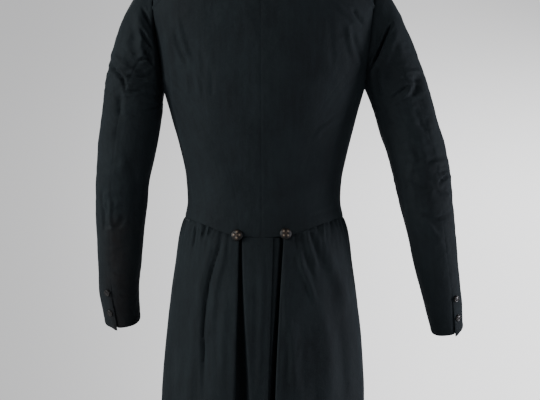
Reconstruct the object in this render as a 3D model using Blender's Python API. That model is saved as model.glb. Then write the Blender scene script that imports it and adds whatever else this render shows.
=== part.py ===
"""A frock coat of fine wool, hollow and in its worn form, with two buttons at the back waist.

The coat faces -Y and its wearer's left is +X. Heights are measured from the neck point at the
shoulder, which is the origin. All sizes are in millimetres and become metres when a mesh is made.
"""

import math
from collections import namedtuple

import bmesh
import bpy
import numpy as np
from mathutils import Vector
from mathutils.bvhtree import BVHTree

MM = 0.001
WALL = 1.6
SEAM_GAP = 0.3
SEAT_GAP = 0.35

HEM = -993.0
SQUARENESS = 2.3

# The figure that the cut makes: level sections from the collar down to the hem.
Section = namedtuple("Section", "height half_width back front")
FIGURE = [
    Section(30, 66, 60, 50),
    Section(0, 80, 70, 60),
    Section(-20, 126, 85, 68),
    Section(-40, 161, 95, 76),
    Section(-60, 184, 103, 84),
    Section(-90, 198, 110, 95),
    Section(-120, 203, 115, 104),
    Section(-160, 200, 118, 113),
    Section(-205, 189, 119, 119),
    Section(-250, 176, 118, 122),
    Section(-308, 159.5, 113, 120),
    Section(-360, 146, 105, 114),
    Section(-413, 135.5, 97, 108),
    Section(-448, 133.2, 93, 105),
    Section(-477, 137.5, 94, 106),
    Section(-512, 144.5, 99, 110),
    Section(-555, 150, 110, 116),
    Section(-625, 159, 126, 122),
    Section(-700, 167.5, 137, 127),
    Section(-765, 171.5, 143, 131),
    Section(-800, 172.5, 145, 133),
    Section(HEM, 180, 152, 140),
]

# The armhole is an egg on the figure, given by turns from the centre back and by height.
ARM_TURN = 92.0
ARM_REACH_BACK = 25.0
ARM_REACH_FRONT = 29.0
ARM_MIDDLE = -155.0
ARM_HALF_HEIGHT = 97.0
ARM_SHOULDER_SEAM = 67.0
ARM_BACK_SEAM = 112.0
ARM_UNDER_BACK = 150.0

# Heights of the neck and waist seams by the turn from the centre back.
SeamHeight = namedtuple("SeamHeight", "turn height")
NECK_SEAM = [
    SeamHeight(0, 8),
    SeamHeight(30, 6),
    SeamHeight(60, 0),
    SeamHeight(90, -1),
    SeamHeight(112, -3),
]
WAIST_SEAM = [
    SeamHeight(0, -512),
    SeamHeight(15, -509),
    SeamHeight(40, -492),
    SeamHeight(65, -481),
    SeamHeight(92, -477),
    SeamHeight(120, -482),
    SeamHeight(150, -494),
    SeamHeight(190, -505),
]

# Seams that cross the panels, as distances from the centre line and heights.
SeamPoint = namedtuple("SeamPoint", "x height")
SIDE_BACK_SEAM = [
    SeamPoint(38.5, -509),
    SeamPoint(41, -470),
    SeamPoint(47, -430),
    SeamPoint(59, -380),
    SeamPoint(80, -330),
    SeamPoint(109, -280),
    SeamPoint(144, -232),
]
SHOULDER_SEAM = [
    SeamPoint(179, -98),
    SeamPoint(140, -62),
    SeamPoint(100, -30),
]
LAP = 22.0
BREAK_HEIGHT = -330.0
ROLL_LINE = [
    SeamPoint(-LAP, BREAK_HEIGHT),
    SeamPoint(8, -230),
    SeamPoint(38, -130),
    SeamPoint(60, -60),
    SeamPoint(78, -3),
]
SIDE_SEAM_TURN = 92.0
UNDERLAP_DEPTH = 5.6
UNDERLAP_EASE = 60.0

# How many cells each seam is cut into, the same on both panels that meet there.
BACK_CELLS = 5
SIDE_CELLS = 5
FRONT_CELLS = 8
SIDE_BACK_CELLS = 12
BACK_ARMHOLE_CELLS = 4
SIDE_SEAM_CELLS = 9
UNDER_ARMHOLE_CELLS = 3
FRONT_ARMHOLE_CELLS = 11
FRONT_EDGE_CELLS = 6
ROLL_CELLS = 12
FRONT_NECK_CELLS = 2

# Lapel widths along the roll line, from the break (0) to the neck (1).
Lapel = namedtuple("Lapel", "along width rise")
LAPEL = [
    Lapel(0.00, 5, 0),
    Lapel(0.15, 21, 4),
    Lapel(0.35, 42, 9),
    Lapel(0.55, 58, 12),
    Lapel(0.70, 64, 14),
]
LAPEL_ROWS = 9
LAPEL_LIFT = 2.3
GORGE = 0.74

# The collar: stand height, and where the fall's edge lies on the figure.
CollarRow = namedtuple("CollarRow", "along stand fall_turn fall_height")
COLLAR = [
    CollarRow(0.00, 4, 152, -92),
    CollarRow(0.14, 9, 141, -52),
    CollarRow(0.30, 20, 120, -24),
    CollarRow(0.48, 27, 85, -16),
    CollarRow(0.62, 30, 56, -14),
    CollarRow(0.82, 31, 26, -12),
    CollarRow(1.00, 31, 0, -11),
]
COLLAR_LIFT = 5.6
COLLAR_COLUMNS = 13

# The skirts: the fold edge beside the tails, its pleat, and the tails between them.
Pleat = namedtuple("Pleat", "down fold underlay valley shoulder vent")
PLEAT_LEFT = [
    Pleat(0.00, 38.5, 3.0, 1.5, 33.0, -20.0),
    Pleat(0.20, 39.5, 14.0, 11.0, 28.0, -18.0),
    Pleat(0.60, 43.5, 27.0, 22.0, 17.0, -12.5),
    Pleat(1.00, 47.0, 34.0, 30.0, 12.0, -9.0),
]
PLEAT_RIGHT = [
    Pleat(0.00, 38.5, 3.0, 1.5, 31.0, -8.0),
    Pleat(0.20, 33.0, 14.0, 9.0, 25.0, -8.0),
    Pleat(0.60, 25.5, 27.0, 20.0, 15.0, -8.0),
    Pleat(1.00, 23.5, 34.0, 28.0, 12.0, -8.0),
]
TURN_RADIUS_TOP = 1.3
TURN_RADIUS_HEM = 2.6
TAIL_SET_BACK = 10.0
VENT_DEPTH_TOP = 2.3
VENT_DEPTH_HEM = 5.0
SPRING = 4.0
SPRING_REACH = 9.0
SKIRT_ROWS = 10
SKIRT_REFINE = 3

# Folds of the skirts: ridges where lift is above 0 and troughs where it is below.
Fold = namedtuple("Fold", "turn_top turn_hem spread lift start")
FOLDS_LEFT = [
    Fold(27, 35, 4.5, -3.2, 0.02),
    Fold(33, 42, 5.5, 2.4, 0.03),
    Fold(52, 58, 8.0, -2.6, 0.20),
    Fold(70, 74, 9.0, 3.4, 0.12),
    Fold(90, 92, 9.0, -3.4, 0.18),
    Fold(110, 112, 10.0, 3.8, 0.15),
    Fold(133, 134, 10.0, -3.2, 0.25),
    Fold(155, 154, 9.0, 2.4, 0.25),
]
FOLDS_RIGHT = [
    Fold(14, 20, 3.5, 2.0, 0.05),
    Fold(21, 28, 4.0, -2.4, 0.06),
    Fold(28, 37, 4.5, 2.4, 0.02),
    Fold(38, 50, 6.0, -3.0, 0.04),
    Fold(48, 72, 7.0, 3.6, 0.06),
    Fold(72, 92, 8.0, -3.2, 0.15),
    Fold(100, 112, 10.0, 3.6, 0.15),
    Fold(130, 134, 10.0, -3.2, 0.25),
    Fold(155, 154, 9.0, 2.4, 0.25),
]
GATHER_FIRST_TURN = 24.0
GATHER_LAST_TURN = 88.0
GATHER_PITCH = 5.2
GATHER_LIFT = 0.9
GATHER_REACH = 38.0

# The sleeves: where each level's outer and inner sides lie, and its middle and half depth.
Sleeve = namedtuple("Sleeve", "height outer inner middle half_depth")
SLEEVE_LEFT = [
    Sleeve(-290, 284.0, 179.0, 2, 63),
    Sleeve(-325, 287.5, 183.5, 6, 60),
    Sleeve(-360, 291.5, 189.0, 10, 57),
    Sleeve(-413, 293.5, 201.0, 11, 53),
    Sleeve(-448, 295.0, 205.0, 6, 50),
    Sleeve(-500, 295.5, 213.0, -7, 46),
    Sleeve(-553, 294.0, 217.0, -22, 42),
    Sleeve(-605, 293.0, 222.0, -38, 38),
    Sleeve(-640, 287.5, 222.0, -50, 36),
    Sleeve(-661, 283.5, 222.5, -58, 35),
]
SLEEVE_RIGHT = [
    Sleeve(-290, 298.0, 191.0, 2, 63),
    Sleeve(-325, 307.0, 201.5, 6, 60),
    Sleeve(-360, 317.0, 214.0, 10, 57),
    Sleeve(-413, 326.5, 228.0, 11, 53),
    Sleeve(-448, 329.5, 236.5, 6, 50),
    Sleeve(-500, 334.0, 249.5, -7, 46),
    Sleeve(-553, 339.0, 261.5, -22, 42),
    Sleeve(-605, 345.0, 275.0, -38, 38),
    Sleeve(-640, 348.0, 284.0, -50, 36),
    Sleeve(-676, 348.5, 294.0, -61, 34),
]
HEAD_ROWS = 6
ARM_ROWS = 11
TOP_SLEEVE_CELLS = 11
UNDER_SLEEVE_CELLS = 8
HEAD_FULLNESS_LEFT = 0.85
HEAD_FULLNESS_RIGHT = 0.6
HEAD_LIFT = 1.9
FORE_SEAM = 235.0
HIND_SEAM_HEAD = 100.0
HIND_SEAM_LEFT = 74.0
HIND_SEAM_RIGHT = 59.0
CUFF_VENT = 78.0
CUFF_VENT_WIDTH = 3.6

# Buttons: radius of the head, height of its dome, and the shank that holds it.
ButtonSize = namedtuple("ButtonSize", "radius dome rim shank_radius shank")
COAT_BUTTON = ButtonSize(10.2, 3.6, 2.2, 3.0, 1.6)
CUFF_BUTTON = ButtonSize(6.2, 2.0, 1.5, 2.0, 1.0)
BUTTON_SIDES = 16
HIP_BUTTONS = {"left": SeamPoint(41.5, -509.0), "right": SeamPoint(40.8, -506.0)}
FRONT_BUTTON_HEIGHTS = {"upper": -345.0, "lower": -425.0}
CUFF_BUTTON_RISES = {"upper": 61.0, "lower": 27.0}
CUFF_BUTTON_INSET = 11.0

SIDES = ("left", "right")

CLOTH_COLOUR = (0.012, 0.017, 0.021, 1.0)
THREAD_COLOUR = (0.11, 0.075, 0.055, 1.0)
CLOTH_ROUGHNESS = 0.85
THREAD_ROUGHNESS = 0.6


def smooth_curve(xs, ys):
    """A curve through the points that never overshoots them."""
    order = np.argsort(xs)
    x = np.asarray(xs, float)[order]
    y = np.asarray(ys, float)[order]
    step = np.diff(x)
    slope = np.diff(y) / step
    tangent = np.zeros(len(x))
    tangent[0] = slope[0]
    tangent[-1] = slope[-1]
    for i in range(1, len(x) - 1):
        if slope[i - 1] * slope[i] > 0:
            before = 2 * step[i] + step[i - 1]
            after = step[i] + 2 * step[i - 1]
            tangent[i] = (before + after) / (before / slope[i - 1] + after / slope[i])

    def value(at):
        at = min(max(at, x[0]), x[-1])
        i = min(max(int(np.searchsorted(x, at)) - 1, 0), len(x) - 2)
        t = (at - x[i]) / step[i]
        return (
            y[i] * (1 + 2 * t) * (1 - t) ** 2
            + tangent[i] * step[i] * t * (1 - t) ** 2
            + y[i + 1] * t * t * (3 - 2 * t)
            + tangent[i + 1] * step[i] * t * t * (t - 1)
        )

    return value


def table_curve(rows, key, column):
    """The smooth curve of one column of a table against its key column."""
    return smooth_curve([getattr(r, key) for r in rows], [getattr(r, column) for r in rows])


def ease(t):
    """0 to 1 with a soft start and end."""
    t = min(max(t, 0.0), 1.0)
    return t * t * (3 - 2 * t)


def mix(a, b, t):
    return a + (b - a) * t


half_width = table_curve(FIGURE, "height", "half_width")
back_depth = table_curve(FIGURE, "height", "back")
front_depth = table_curve(FIGURE, "height", "front")
neck_height = table_curve(NECK_SEAM, "turn", "height")
waist_curve = table_curve(WAIST_SEAM, "turn", "height")


def figure_point(turn, height):
    """A point of the figure, by its turn in degrees from the centre back to the wearer's left."""
    s = math.sin(math.radians(turn))
    c = math.cos(math.radians(turn))
    power = 2 / SQUARENESS
    depth = back_depth(height) if c > 0 else front_depth(height)
    x = half_width(height) * math.copysign(abs(s) ** power, s)
    y = depth * math.copysign(abs(c) ** power, c)
    return np.array((x, y, height))


def figure_normal(turn, height):
    """The outward direction of the figure at a point."""
    across = figure_point(turn + 1, height) - figure_point(turn - 1, height)
    up = figure_point(turn, height + 1) - figure_point(turn, height - 1)
    normal = np.cross(up, across)
    return normal / np.linalg.norm(normal)


def turn_at(x, height, front=False):
    """The turn whose point lies x from the centre line, on the back or on the front."""
    share = min(abs(x) / half_width(height), 1.0) ** (SQUARENESS / 2)
    turn = math.copysign(math.degrees(math.asin(share)), x)
    return 180 - turn if front else turn


def armhole(spot):
    """The armhole's place by spot: 0 is its top, 90 its back, 180 its foot and 270 its front."""
    s = math.sin(math.radians(spot))
    reach = ARM_REACH_BACK if s > 0 else ARM_REACH_FRONT
    height = ARM_MIDDLE + ARM_HALF_HEIGHT * math.cos(math.radians(spot))
    return ARM_TURN - reach * s, height


def armhole_run(first, last, cells):
    return [armhole(mix(first, last, i / cells)) for i in range(cells + 1)]


def spread(points, cells):
    """Points spaced evenly along the smooth curve through the given ones."""
    points = np.asarray(points, float)
    along = np.concatenate([[0], np.cumsum(np.linalg.norm(np.diff(points, axis=0), axis=1))])
    curves = [smooth_curve(along, points[:, k]) for k in range(points.shape[1])]
    stops = [along[-1] * i / cells for i in range(cells + 1)]
    return [tuple(curve(stop) for curve in curves) for stop in stops]


def seam_on_figure(rows, cells, front=False):
    """A seam given by distances from the centre line, as turns and heights."""
    return [(turn_at(x, height, front), height) for x, height in spread(rows, cells)]


def side_back_seam():
    end_turn, end_height = armhole(ARM_BACK_SEAM)
    end_x = figure_point(end_turn, end_height)[0]
    run = seam_on_figure(SIDE_BACK_SEAM + [SeamPoint(end_x, end_height)], SIDE_BACK_CELLS)
    run[0] = (run[0][0], waist_curve(run[0][0]))
    run[-1] = (end_turn, end_height)
    return run


def shoulder_seam(cells):
    """From the neck out to the armhole."""
    start_turn = NECK_SEAM[2].turn
    start = figure_point(start_turn, neck_height(start_turn))
    end_turn, end_height = armhole(ARM_SHOULDER_SEAM)
    end = figure_point(end_turn, end_height)
    rows = [SeamPoint(start[0], start[2])] + SHOULDER_SEAM[::-1] + [SeamPoint(end[0], end[2])]
    run = seam_on_figure(rows, cells)
    run[0] = (start_turn, start[2])
    run[-1] = (end_turn, end_height)
    return run


def waist_nodes():
    """Turns of the waist seam's nodes, from the side-back seam to the front edge."""
    first = side_back_seam()[0][0]
    last = turn_at(-LAP, WAIST_SEAM[-1].height, front=True)
    side = [mix(first, SIDE_SEAM_TURN, i / SIDE_CELLS) for i in range(SIDE_CELLS + 1)]
    front = [mix(SIDE_SEAM_TURN, last, i / FRONT_CELLS) for i in range(1, FRONT_CELLS + 1)]
    return side + front


WAIST_NODES = waist_nodes()
WAIST_NODE_HEIGHTS = [waist_curve(turn) for turn in WAIST_NODES]


def waist_height(turn):
    """The waist seam runs straight from node to node, so that both sides of it fit."""
    return float(np.interp(turn, WAIST_NODES, WAIST_NODE_HEIGHTS))


def fill(bottom, top, left, right):
    """A grid of turns and heights between four edges whose corners meet."""
    bottom, top, left, right = (np.asarray(edge, float) for edge in (bottom, top, left, right))
    grid = np.zeros((len(left), len(bottom), 2))
    for j in range(len(left)):
        v = j / (len(left) - 1)
        for i in range(len(bottom)):
            u = i / (len(bottom) - 1)
            corners = mix(mix(bottom[0], bottom[-1], u), mix(top[0], top[-1], u), v)
            grid[j, i] = mix(left[j], right[j], u) + mix(bottom[i], top[i], v) - corners
    return grid


def on_figure(grid, lift=None):
    """Carries a grid of turns and heights onto the figure, moved out by lift; with directions."""
    points = np.zeros(grid.shape[:2] + (3,))
    normals = np.zeros_like(points)
    for j in range(grid.shape[0]):
        for i in range(grid.shape[1]):
            turn, height = grid[j, i]
            normals[j, i] = figure_normal(turn, height)
            points[j, i] = figure_point(turn, height)
            if lift is not None:
                points[j, i] += normals[j, i] * lift(j, i)
    return points, normals


def trim(points, sides="btlr", gap=SEAM_GAP):
    """Draws the chosen sides of a panel in by half of the seam gap."""
    trimmed = points.copy()
    edges = {
        "b": (points[0], points[1], trimmed[0]),
        "t": (points[-1], points[-2], trimmed[-1]),
        "l": (points[:, 0], points[:, 1], trimmed[:, 0]),
        "r": (points[:, -1], points[:, -2], trimmed[:, -1]),
    }
    for side in sides:
        edge, inner, target = edges[side]
        along = np.gradient(edge, axis=0)
        along /= np.linalg.norm(along, axis=1)[:, None]
        inward = inner - edge
        inward -= (inward * along).sum(axis=1)[:, None] * along
        inward /= np.linalg.norm(inward, axis=1)[:, None]
        target += inward * (gap / 2 + 0.03)
    return trimmed


def mirrored(points):
    return points * np.array((-1.0, 1.0, 1.0))


def material(name, colour, roughness):
    shade = bpy.data.materials.get(name)
    if shade is None:
        shade = bpy.data.materials.new(name)
        shade.use_nodes = True
        shader = shade.node_tree.nodes["Principled BSDF"]
        shader.inputs["Base Color"].default_value = colour
        shader.inputs["Roughness"].default_value = roughness
        shader.inputs["Metallic"].default_value = 0.0
    return shade


def add_mesh(name, vertices, faces, colour, roughness):
    """Makes a closed mesh from points in millimetres, with its faces pointing out."""
    form = bmesh.new()
    corners = [form.verts.new(Vector(tuple(v)) * MM) for v in vertices]
    for face in faces:
        form.faces.new([corners[i] for i in face])
    bmesh.ops.recalc_face_normals(form, faces=form.faces[:])
    mesh = bpy.data.meshes.new(name)
    form.to_mesh(mesh)
    form.free()
    mesh.materials.append(material(name + "_finish", colour, roughness))
    mesh.shade_smooth()
    mesh.set_sharp_from_angle(angle=math.radians(40))
    piece = bpy.data.objects.new(name, mesh)
    bpy.context.scene.collection.objects.link(piece)
    return piece


def grid_normals(points):
    down = np.gradient(points, axis=0)
    across = np.gradient(points, axis=1)
    normals = np.cross(across, down)
    return normals / np.linalg.norm(normals, axis=2)[:, :, None]


def cloth(name, points, normals=None, flip=False):
    """A wall of even thickness about a grid of points, closed along its four sides."""
    if normals is None:
        normals = grid_normals(points)
    if flip:
        points, normals = mirrored(points), mirrored(normals)
    rows, columns = points.shape[:2]
    layers = [points + normals * WALL / 2, points - normals * WALL / 2]
    vertices = np.concatenate([layer.reshape(-1, 3) for layer in layers])

    def at(layer, j, i):
        return (layer * rows + j) * columns + i

    faces = []
    for j in range(rows - 1):
        for i in range(columns - 1):
            corners = ((j, i), (j, i + 1), (j + 1, i + 1), (j + 1, i))
            faces += [[at(layer, *corner) for corner in corners] for layer in (0, 1)]
    rim = [(0, i) for i in range(columns)]
    rim += [(j, columns - 1) for j in range(1, rows)]
    rim += [(rows - 1, i) for i in range(columns - 2, -1, -1)]
    rim += [(j, 0) for j in range(rows - 2, 0, -1)]
    for (ja, ia), (jb, ib) in zip(rim, rim[1:] + rim[:1]):
        faces.append([at(0, ja, ia), at(1, ja, ia), at(1, jb, ib), at(0, jb, ib)])
    return add_mesh(name, vertices, faces, CLOTH_COLOUR, CLOTH_ROUGHNESS)


def make_backs():
    """The two backs, joined at the centre seam and narrow at the waist."""
    seam = side_back_seam()
    outer = seam + armhole_run(ARM_BACK_SEAM, ARM_SHOULDER_SEAM, BACK_ARMHOLE_CELLS)[1:]
    outer += shoulder_seam(FRONT_CELLS)[::-1][1:]
    rows = len(outer)
    low = waist_curve(0)
    centre = [(0.0, mix(low, neck_height(0), j / (rows - 1))) for j in range(rows)]
    shares = [i / BACK_CELLS for i in range(BACK_CELLS + 1)]
    bottom = [(seam[0][0] * share, mix(low, seam[0][1], share)) for share in shares]
    neck_end = NECK_SEAM[2].turn
    top = [(neck_end * share, neck_height(neck_end * share)) for share in shares]
    points, normals = on_figure(fill(bottom, top, centre, outer))
    for side in SIDES:
        cloth("back_" + side, trim(points), normals, side == "right")


def side_seam():
    """Straight up from the waist to the foot of the armhole."""
    low = WAIST_NODE_HEIGHTS[SIDE_CELLS]
    high = armhole(180)[1]
    shares = [j / SIDE_SEAM_CELLS for j in range(SIDE_SEAM_CELLS + 1)]
    return [(SIDE_SEAM_TURN, mix(low, high, share)) for share in shares]


def make_side_bodies():
    """The side bodies between the curved back seams and the side seams."""
    left = side_back_seam()
    right = side_seam() + armhole_run(180, ARM_UNDER_BACK, UNDER_ARMHOLE_CELLS)[1:]
    bottom = list(zip(WAIST_NODES, WAIST_NODE_HEIGHTS))[: SIDE_CELLS + 1]
    top = armhole_run(ARM_BACK_SEAM, ARM_UNDER_BACK, SIDE_CELLS)
    points, normals = on_figure(fill(bottom, top, left, right))
    for side in SIDES:
        cloth("side_body_" + side, trim(points), normals, side == "right")


def underlap(x):
    """How far the right front lies under the left one, by distance from the centre front."""
    return -UNDERLAP_DEPTH * ease(1 - (x - LAP) / UNDERLAP_EASE)


def roll_run():
    return seam_on_figure(ROLL_LINE, ROLL_CELLS, front=True)


def forepart_grid():
    left = side_seam() + armhole_run(180, 360 + ARM_SHOULDER_SEAM, FRONT_ARMHOLE_CELLS)[1:]
    low = WAIST_NODE_HEIGHTS[-1]
    edge = []
    for j in range(FRONT_EDGE_CELLS):
        height = mix(low, BREAK_HEIGHT, j / FRONT_EDGE_CELLS)
        edge.append((turn_at(-LAP, height, front=True), height))
    edge[0] = (WAIST_NODES[-1], low)
    roll = roll_run()
    neck_end = NECK_SEAM[2].turn
    neck = []
    for j in range(1, FRONT_NECK_CELLS + 1):
        turn = mix(roll[-1][0], neck_end, j / FRONT_NECK_CELLS)
        neck.append((turn, neck_height(turn)))
    right = edge + roll + neck
    bottom = list(zip(WAIST_NODES, WAIST_NODE_HEIGHTS))[SIDE_CELLS:]
    top = shoulder_seam(FRONT_CELLS)[::-1]
    return fill(bottom, top, left, right)


def make_foreparts():
    """The foreparts wrap from the side seams over the shoulders, and the left laps the right."""
    grid = forepart_grid()

    def under(j, i):
        turn, height = grid[j, i]
        return underlap(figure_point(turn, height)[0]) if turn > 90 else 0.0

    for side, lift in (("left", None), ("right", under)):
        points, normals = on_figure(grid, lift)
        cloth("forepart_" + side, trim(points), normals, side == "right")


def make_lapels():
    """The lapels turn back at the roll line and lie on the foreparts."""
    width = table_curve(LAPEL, "along", "width")
    rise = table_curve(LAPEL, "along", "rise")
    roll = spread([(r.x, r.height) for r in ROLL_LINE], 60)
    turned = ((0.0, -0.9), (1.1, -2.2), (2.3, -1.6), (LAPEL_LIFT, 2.0))
    shares = (0.25, 0.5, 0.75, 1.0)
    for side, drop in (("left", 0.0), ("right", 1.0)):
        points = []
        for j in range(LAPEL_ROWS + 1):
            along = 0.02 + (GORGE - 0.04) * j / LAPEL_ROWS
            x, height = roll[round(along * 60)]
            reach = [(lift, inset, 0.0) for lift, inset in turned]
            reach += [(LAPEL_LIFT, mix(3.0, width(along), s), s * rise(along)) for s in shares]
            row = []
            for lift, inset, up in reach:
                place = SeamPoint(x + inset, height + up)
                turn = turn_at(place.x, place.height, front=True)
                lift += drop * underlap(place.x)
                row.append(figure_point(turn, place.height) + figure_normal(turn, place.height) * lift)
            points.append(row)
        cloth("lapel_" + side, np.array(points), flip=side == "right")


def make_collar():
    """One collar of stand and fall, from gorge to gorge round the neck."""
    stand = table_curve(COLLAR, "along", "stand")
    fall_turn = table_curve(COLLAR, "along", "fall_turn")
    fall_height = table_curve(COLLAR, "along", "fall_height")
    roll = spread([(r.x, r.height) for r in ROLL_LINE], 60)
    start = round((GORGE + 0.03) * 60)
    base = [figure_point(turn_at(x, h, front=True), h) for x, h in roll[start:]]
    last = turn_at(roll[-1][0], roll[-1][1], front=True)
    for step in range(1, 13):
        turn = last * (1 - step / 12)
        base.append(figure_point(turn, neck_height(turn)))
    columns = []
    for along, foot in zip(np.linspace(0, 1, COLLAR_COLUMNS), spread(base, COLLAR_COLUMNS - 1)):
        foot = np.array(foot)
        outward = np.array((foot[0], foot[1], 0.0))
        outward /= np.linalg.norm(outward)
        up = np.array((0.0, 0.0, 1.0))
        rounded = ease((along - 0.2) / 0.2)
        foot = foot + up * 1.3 * rounded - outward * 1.6 * (1 - rounded)
        crest = foot + up * stand(along) - outward * 2
        height = fall_height(along)
        turn = fall_turn(along)
        rim = figure_point(turn, height) + figure_normal(turn, height) * COLLAR_LIFT
        brow = crest + outward * 4.5 + up * 2.0
        cheek = crest + outward * 9.0 - up * 1.5
        middle = (cheek + rim) / 2 + (outward + up) * 1.8
        columns.append([foot, (foot + crest) / 2, crest, brow, cheek, middle, rim])
    half = np.array(columns).transpose(1, 0, 2)
    whole = np.concatenate([half, mirrored(half[:, -2::-1])], axis=1)
    cloth("collar", whole)


def gathers(turn, drop):
    """Small gathers below the waist seam at the sides."""
    inside = ease((turn - GATHER_FIRST_TURN) / 8) * ease((GATHER_LAST_TURN - turn) / 8)
    wave = math.sin(2 * math.pi * turn / GATHER_PITCH + 1.3 * math.sin(turn / 7))
    return GATHER_LIFT * inside * wave * math.exp(-drop / GATHER_REACH) * ease(drop / 6)


def fold_lift(folds, turn, down):
    """Long folds of the skirt, wider and deeper towards the hem."""
    total = 0.0
    for fold in folds:
        centre = mix(fold.turn_top, fold.turn_hem, min(1.0, down / 0.55) ** 0.7)
        growth = ease((down - fold.start) / 0.5) * 0.75 + ease((down - 0.5) / 0.5) * 0.75
        total += fold.lift * growth * math.exp(-(((turn - centre) / fold.spread) ** 2))
    return total


def skirt_point(folds, turn, down, depth=0.0):
    """A point of a skirt, by its turn and its share of the way from waist seam to hem."""
    seam = waist_height(turn) - 0.2
    height = mix(seam, HEM, down)
    drop = seam - height
    lift = SPRING * (1 - math.exp(-drop / SPRING_REACH)) + gathers(turn, drop)
    lift += fold_lift(folds, turn, down)
    return figure_point(turn, height) + figure_normal(turn, height) * (lift - depth)


def skirt_turn_at(x, down):
    """The turn at which a skirt lies x from the centre line."""
    height = mix(WAIST_NODE_HEIGHTS[0], HEM, down)
    return turn_at(x, height)


def row_share(j):
    """Shares of the skirt's length, closer together under the waist seam."""
    return (j / SKIRT_ROWS) ** 1.35


def make_skirt(side, folds, pleats):
    """A skirt from the front edge round to its fold edge, which turns under as a pleat."""
    fold_x = table_curve(pleats, "down", "fold")
    underlay = table_curve(pleats, "down", "underlay")
    nodes = []
    for first, last in zip(WAIST_NODES, WAIST_NODES[1:]):
        nodes += [mix(first, last, k / SKIRT_REFINE) for k in range(SKIRT_REFINE)]
    nodes.append(WAIST_NODES[-1])
    span = nodes[-1] - nodes[0]
    rows = []
    for j in range(SKIRT_ROWS + 1):
        down = row_share(j)
        radius = mix(TURN_RADIUS_TOP, TURN_RADIUS_HEM, ease(down / 0.4))
        edge = fold_x(down)
        row = []
        for share in (1.0, 0.55, 0.2):
            turn = skirt_turn_at(edge + radius + underlay(down) * share, down)
            row.append(skirt_point(folds, turn, down, 2 * radius))
        for bend in (90, 45, 0, -45):
            s = math.sin(math.radians(bend))
            c = math.cos(math.radians(bend))
            turn = skirt_turn_at(edge + radius * (1 - c), down)
            row.append(skirt_point(folds, turn, down, radius * (1 + s)))
        edge_turn = skirt_turn_at(edge + radius, down)
        for turn in nodes:
            around = mix(edge_turn, nodes[-1], (turn - nodes[0]) / span)
            depth = 0.0
            if side == "right" and around > 90:
                depth = -underlap(figure_point(around, mix(WAIST_NODE_HEIGHTS[-1], HEM, down))[0])
            row.append(skirt_point(folds, around, down, depth))
        rows.append(row)
    cloth("skirt_" + side, trim(np.array(rows), sides="b"), flip=side == "right")


def make_tail(side, folds, pleats):
    """A tail below the back, from its vent edge to the pleat that it shares with the skirt."""
    fold_x = table_curve(pleats, "down", "fold")
    underlay = table_curve(pleats, "down", "underlay")
    valley = table_curve(pleats, "down", "valley")
    shoulder = table_curve(pleats, "down", "shoulder")
    vent = table_curve(pleats, "down", "vent")
    rows = []
    for j in range(SKIRT_ROWS + 1):
        down = row_share(j)
        seam = waist_curve(0) - 0.2
        height = mix(seam, HEM, down)
        spring = SPRING * (1 - math.exp(-(seam - height) / SPRING_REACH))
        rest = TAIL_SET_BACK * ease(down / 0.7)
        if side == "right":
            rest += mix(VENT_DEPTH_TOP, VENT_DEPTH_HEM, down)
        radius = mix(TURN_RADIUS_TOP, TURN_RADIUS_HEM, ease(down / 0.4))
        deep = rest + valley(down) + 4.0
        end = fold_x(down) + radius + underlay(down)
        joined = 2 * radius + WALL + SEAM_GAP + 0.15 - fold_lift(folds, turn_at(end, height), down)
        start = shoulder(down)
        run = end - start
        path = [(mix(vent(down), start, k / 4), rest) for k in range(5)]
        path += [
            (start + run * 0.10, mix(rest, deep, 0.18)),
            (start + run * 0.26, mix(rest, deep, 0.62)),
            (start + run * 0.46, deep),
            (start + run * 0.70, mix(deep, joined + 2.0, 0.35)),
            (end, joined),
        ]
        row = []
        for x, depth in path:
            turn = turn_at(x, height)
            row.append(figure_point(turn, height) + figure_normal(turn, height) * (spring - depth))
        rows.append(row)
    cloth("tail_" + side, np.array(rows), flip=side == "right")


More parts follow.
